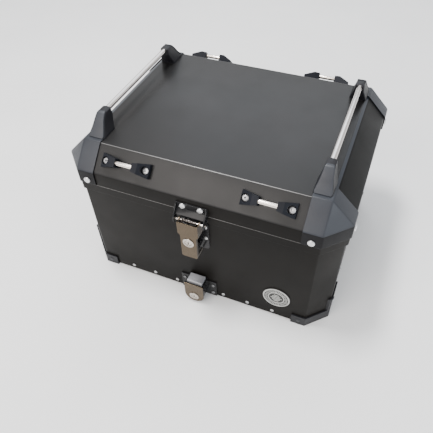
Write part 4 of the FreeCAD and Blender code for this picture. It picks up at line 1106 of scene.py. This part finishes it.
def row_tree():
    group = bpy.data.node_groups.new("row_of_fasteners", "GeometryNodeTree")
    node_group_inputs(group, (
        ("Head", "NodeSocketObject"), ("Start", "NodeSocketVector"), ("Step", "NodeSocketVector"),
        ("Count", "NodeSocketInt"), ("Turn", "NodeSocketVector"), ("Finish", "NodeSocketMaterial")))
    nodes, links = group.nodes, group.links
    given = nodes.new("NodeGroupInput")
    line = nodes.new("GeometryNodeMeshLine")
    line.mode = "OFFSET"
    head = nodes.new("GeometryNodeObjectInfo")
    on_points = nodes.new("GeometryNodeInstanceOnPoints")
    real = nodes.new("GeometryNodeRealizeInstances")
    paint = nodes.new("GeometryNodeSetMaterial")
    result = nodes.new("NodeGroupOutput")
    links.new(given.outputs["Count"], line.inputs["Count"])
    links.new(given.outputs["Start"], line.inputs["Start Location"])
    links.new(given.outputs["Step"], line.inputs["Offset"])
    links.new(given.outputs["Head"], head.inputs["Object"])
    links.new(line.outputs["Mesh"], on_points.inputs["Points"])
    links.new(head.outputs["Geometry"], on_points.inputs["Instance"])
    links.new(given.outputs["Turn"], on_points.inputs["Rotation"])
    links.new(on_points.outputs["Instances"], real.inputs["Geometry"])
    links.new(real.outputs["Geometry"], paint.inputs["Geometry"])
    links.new(given.outputs["Finish"], paint.inputs["Material"])
    links.new(paint.outputs["Geometry"], result.inputs["Geometry"])
    return group


ROW_TREE = row_tree()
print("row tree:", len(ROW_TREE.nodes), "nodes")

# %% [markdown]
# A tree only works on a host object, so a host is made, given the tree and its inputs, read
# back as a plain mesh and thrown away. The inputs are set by their identifiers before the host
# is first evaluated. A head looks up, so each row also says how to turn it outwards.

# %% Growing rows into pieces
QUARTER = math.radians(90)
TURN_FRONT, TURN_REAR = (QUARTER, 0, 0), (-QUARTER, 0, 0)
TURN_RIGHT, TURN_LEFT = (0, QUARTER, 0), (0, -QUARTER, 0)


def grown(tree, values):
    """The mesh a node tree makes from these inputs."""
    host = bpy.data.objects.new("host", bpy.data.meshes.new("host"))
    bpy.context.scene.collection.objects.link(host)
    maker = host.modifiers.new("maker", "NODES")
    maker.node_group = tree
    for item in tree.interface.items_tree:
        if item.in_out == "INPUT" and item.name in values:
            maker[item.identifier] = values[item.name]
    graph = bpy.context.evaluated_depsgraph_get()
    mesh = bpy.data.meshes.new_from_object(host.evaluated_get(graph))
    empty = host.data
    bpy.data.objects.remove(host)
    bpy.data.meshes.remove(empty)
    return mesh


def fastener_rows(name, head, rows, finish, node):
    """rows holds (start, step, count, turn); all rows become one piece for the node."""
    whole = bmesh.new()
    for start, step, count, turn in rows:
        mesh = grown(ROW_TREE, {"Head": head, "Start": start, "Step": step, "Count": count,
                                "Turn": turn, "Finish": finish})
        whole.from_mesh(mesh)
        bpy.data.meshes.remove(mesh)
    print(name + ":", sum(count for start, step, count, turn in rows))
    return hand_over(piece_from(name, whole, finish, mend=False), node)

# %% [markdown]
# The rivets of the body run along its foot at one pitch, the middle one on the front left out
# where the lower lock sits. The guards, hinge and lock base have their own few rivets.

# %% Rivets of the foot and the guards
PITCH = 42 * MM
RIVET_Z = 10.5 * MM
EAR_Z = 36 * MM
GUARD_T = 2.6 * MM
along_x, along_y = (PITCH, 0, 0), (0, PITCH, 0)
fastener_rows("foot_rivets", rivet_one, [
    ((-3 * PITCH, WALL_Y, RIVET_Z), along_x, 7, TURN_REAR),
    ((-3 * PITCH, -WALL_Y, RIVET_Z), along_x, 3, TURN_FRONT),
    ((PITCH, -WALL_Y, RIVET_Z), along_x, 3, TURN_FRONT),
    ((WALL_X, -PITCH, RIVET_Z), along_y, 3, TURN_RIGHT),
    ((-WALL_X, -PITCH, RIVET_Z), along_y, 3, TURN_LEFT)], rivet_metal, "wall_rivets")

guard_x, guard_y = 170 * MM, 126 * MM
guard_out_x, guard_out_y = WALL_X + GUARD_T, WALL_Y + GUARD_T
fastener_rows("guard_rivet_heads", rivet_one, [
    ((-guard_x, -guard_out_y, RIVET_Z), (2 * guard_x, 0, 0), 2, TURN_FRONT),
    ((-guard_x, guard_out_y, RIVET_Z), (2 * guard_x, 0, 0), 2, TURN_REAR),
    ((guard_out_x, -guard_y, EAR_Z), (0, 2 * guard_y, 0), 2, TURN_RIGHT),
    ((-guard_out_x, -guard_y, EAR_Z), (0, 2 * guard_y, 0), 2, TURN_LEFT)], dark_rivet, "guard_rivets")

# %% [markdown]
# The rear hinge is a long one, so each leaf has five rivets at an even step. The plate behind
# the upper lock has one in each corner.

# %% Rivets of the hinge and the lock base
REAR_Y = HALF_D - CAP_T + SHEET_T
HINGE_FIRST, HINGE_STEP, HINGE_COUNT = -109 * MM, 54.5 * MM, 5
HINGE_ROWS = {"hinge_rivets_lid": 207.8 * MM, "hinge_rivets_body": 185.4 * MM}
BASE_Y = WALL_Y + 2 * MM
BASE_RIVET_X = 18 * MM
BASE_RIVET_ROWS = (169 * MM, 146 * MM)
for node, z in HINGE_ROWS.items():
    hinge_row = ((HINGE_FIRST, REAR_Y, z), (HINGE_STEP, 0, 0), HINGE_COUNT, TURN_REAR)
    fastener_rows(node + "_row", rivet_one, [hinge_row], rivet_metal, node)
fastener_rows("lock_base_rivets", rivet_one, [
    ((-BASE_RIVET_X, -BASE_Y, z), (2 * BASE_RIVET_X, 0, 0), 2, TURN_FRONT) for z in BASE_RIVET_ROWS],
    rivet_metal, "hasp_base_rivets")

# %% [markdown]
# Screws go the same way. Each corner cap has one on its front face and one on its side. Each
# tie loop has two, set in the pockets of its feet and square to the slope.

# %% Screws of the caps and the loops
CAP_SCREW_X, CAP_SCREW_Y, CAP_SCREW_Z = 168.5 * MM, 125.5 * MM, 203.1 * MM
fastener_rows("cap_screw_heads", cap_head, [
    ((-CAP_SCREW_X, -HALF_D, CAP_SCREW_Z), (2 * CAP_SCREW_X, 0, 0), 2, TURN_FRONT),
    ((-CAP_SCREW_X, HALF_D, CAP_SCREW_Z), (2 * CAP_SCREW_X, 0, 0), 2, TURN_REAR),
    ((HALF_W, -CAP_SCREW_Y, CAP_SCREW_Z), (0, 2 * CAP_SCREW_Y, 0), 2, TURN_RIGHT),
    ((-HALF_W, -CAP_SCREW_Y, CAP_SCREW_Z), (0, 2 * CAP_SCREW_Y, 0), 2, TURN_LEFT)], zinc, "cap_screws")

POCKET_RISE = 3 * MM
LOOP_PITCH = 62.5 * MM
EIGHTH = math.radians(45)
loop_rows = []
for side, front in CORNERS.values():
    seat = other_side(LOOP_BASE + SLOPE_OUT * POCKET_RISE + Vector((LOOP_X, 0, 0)), side, front)
    start = (seat.x - LOOP_PITCH / 2, seat.y, seat.z)
    loop_rows.append((start, (LOOP_PITCH, 0, 0), 2, (front * EIGHTH, 0, 0)))
fastener_rows("loop_screw_heads", loop_head, loop_rows, zinc, "loop_screws")

# %% [markdown]
# The bracket of the upper lock is held by two slotted screws, and the housing of the lower one
# by four small socket screws, two on each ear. The small ones are dull, so that they don't draw
# the eye from the lock.

# %% Screws of the locks
BRACKET_SCREW_X, BRACKET_SCREW_Y, BRACKET_SCREW_Z = 13.5 * MM, 172.2 * MM, 205 * MM
EAR_SCREW_X = 25 * MM
EAR_SCREW_ROWS = (29 * MM, 10.5 * MM)
bracket_row = ((-BRACKET_SCREW_X, -BRACKET_SCREW_Y, BRACKET_SCREW_Z), (2 * BRACKET_SCREW_X, 0, 0), 2,
               TURN_FRONT)
fastener_rows("lock_bracket_screws", pan_head, [bracket_row], zinc, "hasp_screws")
fastener_rows("release_screw_heads", small_screw, [
    ((-EAR_SCREW_X, -BASE_Y, z), (2 * EAR_SCREW_X, 0, 0), 2, TURN_FRONT) for z in EAR_SCREW_ROWS],
    small_metal, "release_screws")

# %% [markdown]
# ## Coil springs
# A spring is a wire wound at a constant pitch. The tree draws a spiral and sweeps a round wire
# along it, which keeps the wire round at every turn.

# %% The spring tree
WIRE_SIDES = 12
STEPS_A_TURN = 24


def spring_tree():
    group = bpy.data.node_groups.new("coil_spring", "GeometryNodeTree")
    node_group_inputs(group, (
        ("Turns", "NodeSocketFloat"), ("Radius", "NodeSocketFloat"), ("Length", "NodeSocketFloat"),
        ("Wire", "NodeSocketFloat"), ("Smoothness", "NodeSocketInt"), ("Finish", "NodeSocketMaterial")))
    nodes, links = group.nodes, group.links
    given = nodes.new("NodeGroupInput")
    spiral = nodes.new("GeometryNodeCurveSpiral")
    wire = nodes.new("GeometryNodeCurvePrimitiveCircle")
    wire.inputs["Resolution"].default_value = WIRE_SIDES
    sweep = nodes.new("GeometryNodeCurveToMesh")
    sweep.inputs["Fill Caps"].default_value = True
    real = nodes.new("GeometryNodeRealizeInstances")
    paint = nodes.new("GeometryNodeSetMaterial")
    result = nodes.new("NodeGroupOutput")
    links.new(given.outputs["Turns"], spiral.inputs["Rotations"])
    links.new(given.outputs["Smoothness"], spiral.inputs["Resolution"])
    links.new(given.outputs["Radius"], spiral.inputs["Start Radius"])
    links.new(given.outputs["Radius"], spiral.inputs["End Radius"])
    links.new(given.outputs["Length"], spiral.inputs["Height"])
    links.new(given.outputs["Wire"], wire.inputs["Radius"])
    links.new(spiral.outputs["Curve"], sweep.inputs["Curve"])
    links.new(wire.outputs["Curve"], sweep.inputs["Profile Curve"])
    links.new(sweep.outputs["Mesh"], real.inputs["Geometry"])
    links.new(real.outputs["Geometry"], paint.inputs["Geometry"])
    links.new(given.outputs["Finish"], paint.inputs["Material"])
    links.new(paint.outputs["Geometry"], result.inputs["Geometry"])
    return group


SPRING_TREE = spring_tree()
print("spring tree:", len(SPRING_TREE.nodes), "nodes")

# %% [markdown]
# The lock flap's spring lies along its pin and the button's stands under the button, so each
# mesh is turned to its own line.

# %% Two springs
def spring(name, node, turns, radius, wire, length, place, out):
    mesh = grown(SPRING_TREE, {
        "Turns": float(turns), "Radius": radius, "Length": length - 2 * wire, "Wire": wire,
        "Smoothness": turns * STEPS_A_TURN, "Finish": spring_metal})
    bm = bmesh.new()
    bm.from_mesh(mesh)
    bpy.data.meshes.remove(mesh)
    laid(bm, Vector(place) + Vector(out) * wire, out)
    return hand_over(piece_from(name, bm, spring_metal), node)


FLAP_SPRING_START = Vector((-12, -181, 186.5)) * MM
spring("flap_spring", "hasp_spring", turns=11, radius=2.75 * MM, wire=0.6 * MM, length=24 * MM,
       place=FLAP_SPRING_START, out=(1, 0, 0))
button_foot = Vector((0, -173.25, 28)) * MM
button_spring = spring("button_spring", "release_spring", turns=4, radius=3.2 * MM, wire=0.5 * MM,
                       length=7 * MM, place=button_foot, out=(0, 0, 1))
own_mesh(button_spring)

# %% [markdown]
# ## Lock cylinders
# A lock cylinder is a bored barrel with a flange in front, and a plug that turns inside it. The
# plug's face has a turned ring and a keyway. Flange and plug are separate pieces here as well,
# because the plug turns with its key.

# %% Barrels and plugs
FLANGE_T = 1.5 * MM
STEP_DOWN = 0.25 * MM
PLUG_RIM = 0.5 * MM
RING_DEEP = 0.3 * MM


def barrel(name, node, face_y, back_y, z, flange_r, barrel_r, bore_r):
    """A bored cylinder whose flange has a raised ring round the bore."""
    deep = back_y - face_y
    rows = [(bore_r, 0), (flange_r * 0.80, 0), (flange_r * 0.84, STEP_DOWN), (flange_r - 0.4 * MM, STEP_DOWN),
            (flange_r, 0.6 * MM), (flange_r, FLANGE_T), (barrel_r, FLANGE_T), (barrel_r, deep),
            (bore_r, deep), (bore_r, 0)]
    bm = spun([(r, -h) for r, h in rows], 56)
    return hand_over(piece_from(name, laid(bm, Vector((0, face_y, z)), (0, -1, 0)), plated), node)


def plug(name, node, face_y, back_y, z, radius, keyway):
    """A core with a sunken face and a keyway (width, height, depth)."""
    deep = back_y - face_y
    rows = [(0, -deep), (radius, -deep), (radius, -PLUG_RIM), (radius - PLUG_RIM, 0),
            (radius * 0.74, 0), (radius * 0.70, -RING_DEEP), (0, -RING_DEEP)]
    bm = laid(spun(rows, 56), Vector((0, face_y, z)), (0, -1, 0))
    wide, high, depth = keyway
    piece = carved(name, bm, (wide, 2 * depth, high), Vector((0, face_y, z)), plated)
    return hand_over(piece, node)


LOCK_Z, FLAP_Y = 151 * MM, -190 * MM
LOWER_LOCK_Z = 15.5 * MM
barrel("lock_barrel", "hasp_barrel", FLAP_Y - FLANGE_T, -175.5 * MM, LOCK_Z, 8.7 * MM, 7.4 * MM, 5.5 * MM)
plug("lock_plug", "hasp_plug", FLAP_Y - 1.2 * MM, -175.0 * MM, LOCK_Z, 5.4 * MM,
     (1.2 * MM, 7.2 * MM, 4 * MM))
release_low, release_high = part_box("release_barrel")
barrel("lower_barrel", "release_barrel", release_low.y, release_high.y, LOWER_LOCK_Z,
       8.2 * MM, 6.8 * MM, 5.1 * MM)
plug_low, plug_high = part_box("release_plug")
plug("lower_plug", "release_plug", plug_low.y, plug_high.y, LOWER_LOCK_Z, 5.0 * MM,
     (1.2 * MM, 6.6 * MM, 4 * MM))
print("lower barrel length", round(release_high.y - release_low.y, 4))

# %% [markdown]
# ## Badge
# The badge is a cast disc, glued on, with a raised rim. Its pattern is a plain one made up for
# this lesson: a ring of ticks and five bars, which stand proud of a sunken ground. The disc is
# spun, the pattern is small blocks set on it by two loops, and all of it is one piece.

# %% Badge shape
badge_low, badge_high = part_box("badge")
BADGE_R = (badge_high.x - badge_low.x) / 2
BADGE_T = badge_high.y - badge_low.y
BADGE_DIP = 0.62 * BADGE_T
TICKS = 40
TICK_W, BAR_W, BAR_STEP = 0.055 * BADGE_R, 0.085 * BADGE_R, 0.155 * BADGE_R
BLOCK_H, BLOCK_Z = 0.3 * BADGE_T, 0.75 * BADGE_T
badge_profile = [
    (0, 0), (BADGE_R, 0), (BADGE_R, 0.45 * BADGE_T), (0.965 * BADGE_R, 0.9 * BADGE_T),
    (0.93 * BADGE_R, BADGE_T), (0.88 * BADGE_R, BADGE_T), (0.86 * BADGE_R, BADGE_DIP),
    (0.62 * BADGE_R, BADGE_DIP), (0.60 * BADGE_R, 0.9 * BADGE_T), (0.54 * BADGE_R, 0.9 * BADGE_T),
    (0.52 * BADGE_R, BADGE_DIP), (0, BADGE_DIP)]
badge_middle = Vector(((badge_low.x + badge_high.x) / 2, badge_high.y, (badge_low.z + badge_high.z) / 2))


def raised_block(size, place, turn):
    """A block at a place on the badge, then turned about the badge's middle."""
    bm = bmesh.new()
    bmesh.ops.create_cube(bm, size=1, matrix=Matrix.Rotation(turn, 4, "Z") @ Matrix.Translation(place)
                          @ Matrix.Diagonal((*size, 1)))
    return bm


badge_parts = [spun(badge_profile, 96)]
for k in range(TICKS):
    tick_l = (0.13 + 0.04 * (k % 3)) * BADGE_R
    badge_parts.append(raised_block((tick_l, TICK_W, BLOCK_H), (0.74 * BADGE_R, 0, BLOCK_Z),
                                    2 * math.pi * k / TICKS))
for k in range(-2, 3):
    bar_l = (0.80 - 0.22 * abs(k)) * BADGE_R
    badge_parts.append(raised_block((bar_l, BAR_W, BLOCK_H), (0, BAR_STEP * k, BLOCK_Z), 0.0))
print("badge radius", round(BADGE_R, 4), "parts", len(badge_parts))

# %% [markdown]
# Cast badges are often filled with dark paint and wiped, so that only the sunken ground stays
# dark. The finish finds the ground by its depth: Separate XYZ takes how far back a point lies,
# and Map Range turns that into a share of paint.

# %% Badge finish
WIPED, FILLED = 0.12, 0.34  # shares of the badge's thickness


def filled_badge(name, face_y):
    """Cast metal whose sunken ground is filled with dark paint, found by its depth."""
    finish, tree, shader = new_finish(name, 1.0)
    place = tree.nodes.new("ShaderNodeTexCoord")
    split = tree.nodes.new("ShaderNodeSeparateXYZ")
    depth = tree.nodes.new("ShaderNodeMapRange")
    tree.links.new(place.outputs["Object"], split.inputs["Vector"])
    tree.links.new(split.outputs["Y"], depth.inputs["Value"])
    depth.inputs["From Min"].default_value = face_y + WIPED * BADGE_T
    depth.inputs["From Max"].default_value = face_y + FILLED * BADGE_T
    blend = tree.nodes.new("ShaderNodeMix")
    blend.data_type = "RGBA"
    tints = [socket for socket in blend.inputs if socket.type == "RGBA"]
    tints[0].default_value = (0.50, 0.50, 0.48, 1)
    tints[1].default_value = (0.07, 0.07, 0.068, 1)
    tree.links.new(depth.outputs["Result"], blend.inputs[0])
    tree.links.new(next(o for o in blend.outputs if o.type == "RGBA"), shader.inputs["Base Color"])
    tree.links.new(between(tree, grain(tree, 900, 3), 0.38, 0.52), shader.inputs["Roughness"])
    relief(tree, shader, grain(tree, 2200, 3), 0.04 * MM)
    return finish


badge_whole = merged("plain_badge", badge_parts, filled_badge("filled_badge", badge_low.y))
badge_turn = Vector((0, 0, 1)).rotation_difference(Vector((0, -1, 0))).to_matrix().to_4x4()
badge_whole.data.transform(Matrix.Translation(badge_middle) @ badge_turn)
hand_over(badge_whole, "badge")
print("badge:", len(badge_whole.data.polygons), "faces")

# %% [markdown]
# ## Floor mat
# A thin ribbed rubber mat lies on the floor of the case and stops things sliding. Its fine ribs
# are left to the finish: a Wave texture gives their rise and a Bump turns it into shading. The
# mat's form is softened like the other engineering pieces.

# %% Floor mat
RIB_PITCH, RIB_RISE = 6 * MM, 0.6 * MM
WAVE_RATE = 20  # a Wave texture of scale 1 turns through this many radians a metre


def ribbed_rubber(name):
    finish, tree, shader = new_finish(name, 0.0)
    tinted(tree, shader, grain(tree, 30, 3), (0.016, 0.016, 0.016), (0.026, 0.026, 0.026))
    shader.inputs["Roughness"].default_value = 0.7
    place = tree.nodes.new("ShaderNodeTexCoord")
    ribs = tree.nodes.new("ShaderNodeTexWave")
    ribs.inputs["Scale"].default_value = 2 * math.pi / (WAVE_RATE * RIB_PITCH)
    tree.links.new(place.outputs["Object"], ribs.inputs["Vector"])
    relief(tree, shader, ribs.outputs["Fac"], RIB_RISE)
    return finish


mat = softened("floor_mat", ribbed_rubber("ribbed_mat"), 0.4 * MM)
print("floor mat:", len(mat.data.polygons), "faces")

# %% [markdown]
# ## Floor and light
# The case stands on a plain pale floor under soft studio light: a cool panel behind and above
# that lights the flat of the lid, a cool one from the right, a warm one from the front left, a
# small strong one overhead that draws the edges, and a bright even sky. Large panels make the
# long soft reflections that tell satin sheet from gloss.

# %% Studio
FLOOR_HALF = 6.0
floor_finish, floor_tree, floor_shader = new_finish("studio_floor", 0.0)
floor_shader.inputs["Roughness"].default_value = 0.9
tinted(floor_tree, floor_shader, grain(floor_tree, 4, 2), (0.88, 0.88, 0.88), (0.92, 0.92, 0.92))
floor_bm = bmesh.new()
bmesh.ops.create_grid(floor_bm, x_segments=1, y_segments=1, size=FLOOR_HALF)
floor = piece_from("studio_floor", floor_bm, floor_finish, mend=False)


def panel(name, place, aim, size, power, tint=(1, 1, 1)):
    """A rectangular area lamp of this size in metres and power in watts, turned to its aim."""
    lamp = bpy.data.lights.new(name, "AREA")
    lamp.shape = "RECTANGLE"
    lamp.size, lamp.size_y = size
    lamp.energy = power
    lamp.color = tint
    holder = bpy.data.objects.new(name, lamp)
    bpy.context.scene.collection.objects.link(holder)
    holder.location = place
    holder.rotation_mode = "QUATERNION"
    holder.rotation_quaternion = (Vector(aim) - Vector(place)).to_track_quat("-Z", "Y")


SKY_BLUE, COOL, WARM = (0.84, 0.91, 1.0), (0.84, 0.92, 1.0), (1.0, 0.94, 0.89)
panel("back_panel", (-0.30, 1.75, 1.9), aim=(0, 0, 0.2), size=(2.0, 1.5), power=20, tint=SKY_BLUE)
panel("right_panel", (1.7, -0.6, 0.9), aim=(0, 0, 0.15), size=(1.2, 1.0), power=12, tint=COOL)
panel("front_panel", (-0.6, -1.6, 1.45), aim=(0, 0, 0.15), size=(1.5, 1.0), power=27, tint=WARM)
panel("edge_panel", (-0.45, -0.1, 1.9), aim=(0, 0, 0.2), size=(0.5, 0.3), power=40)

world = bpy.data.worlds.new("studio")
bpy.context.scene.world = world
world.use_nodes = True
sky = world.node_tree.nodes["Background"]
sky.inputs["Color"].default_value = (1.0, 1.0, 1.0, 1)
sky.inputs["Strength"].default_value = 0.95
print("panels:", len(bpy.data.lights))
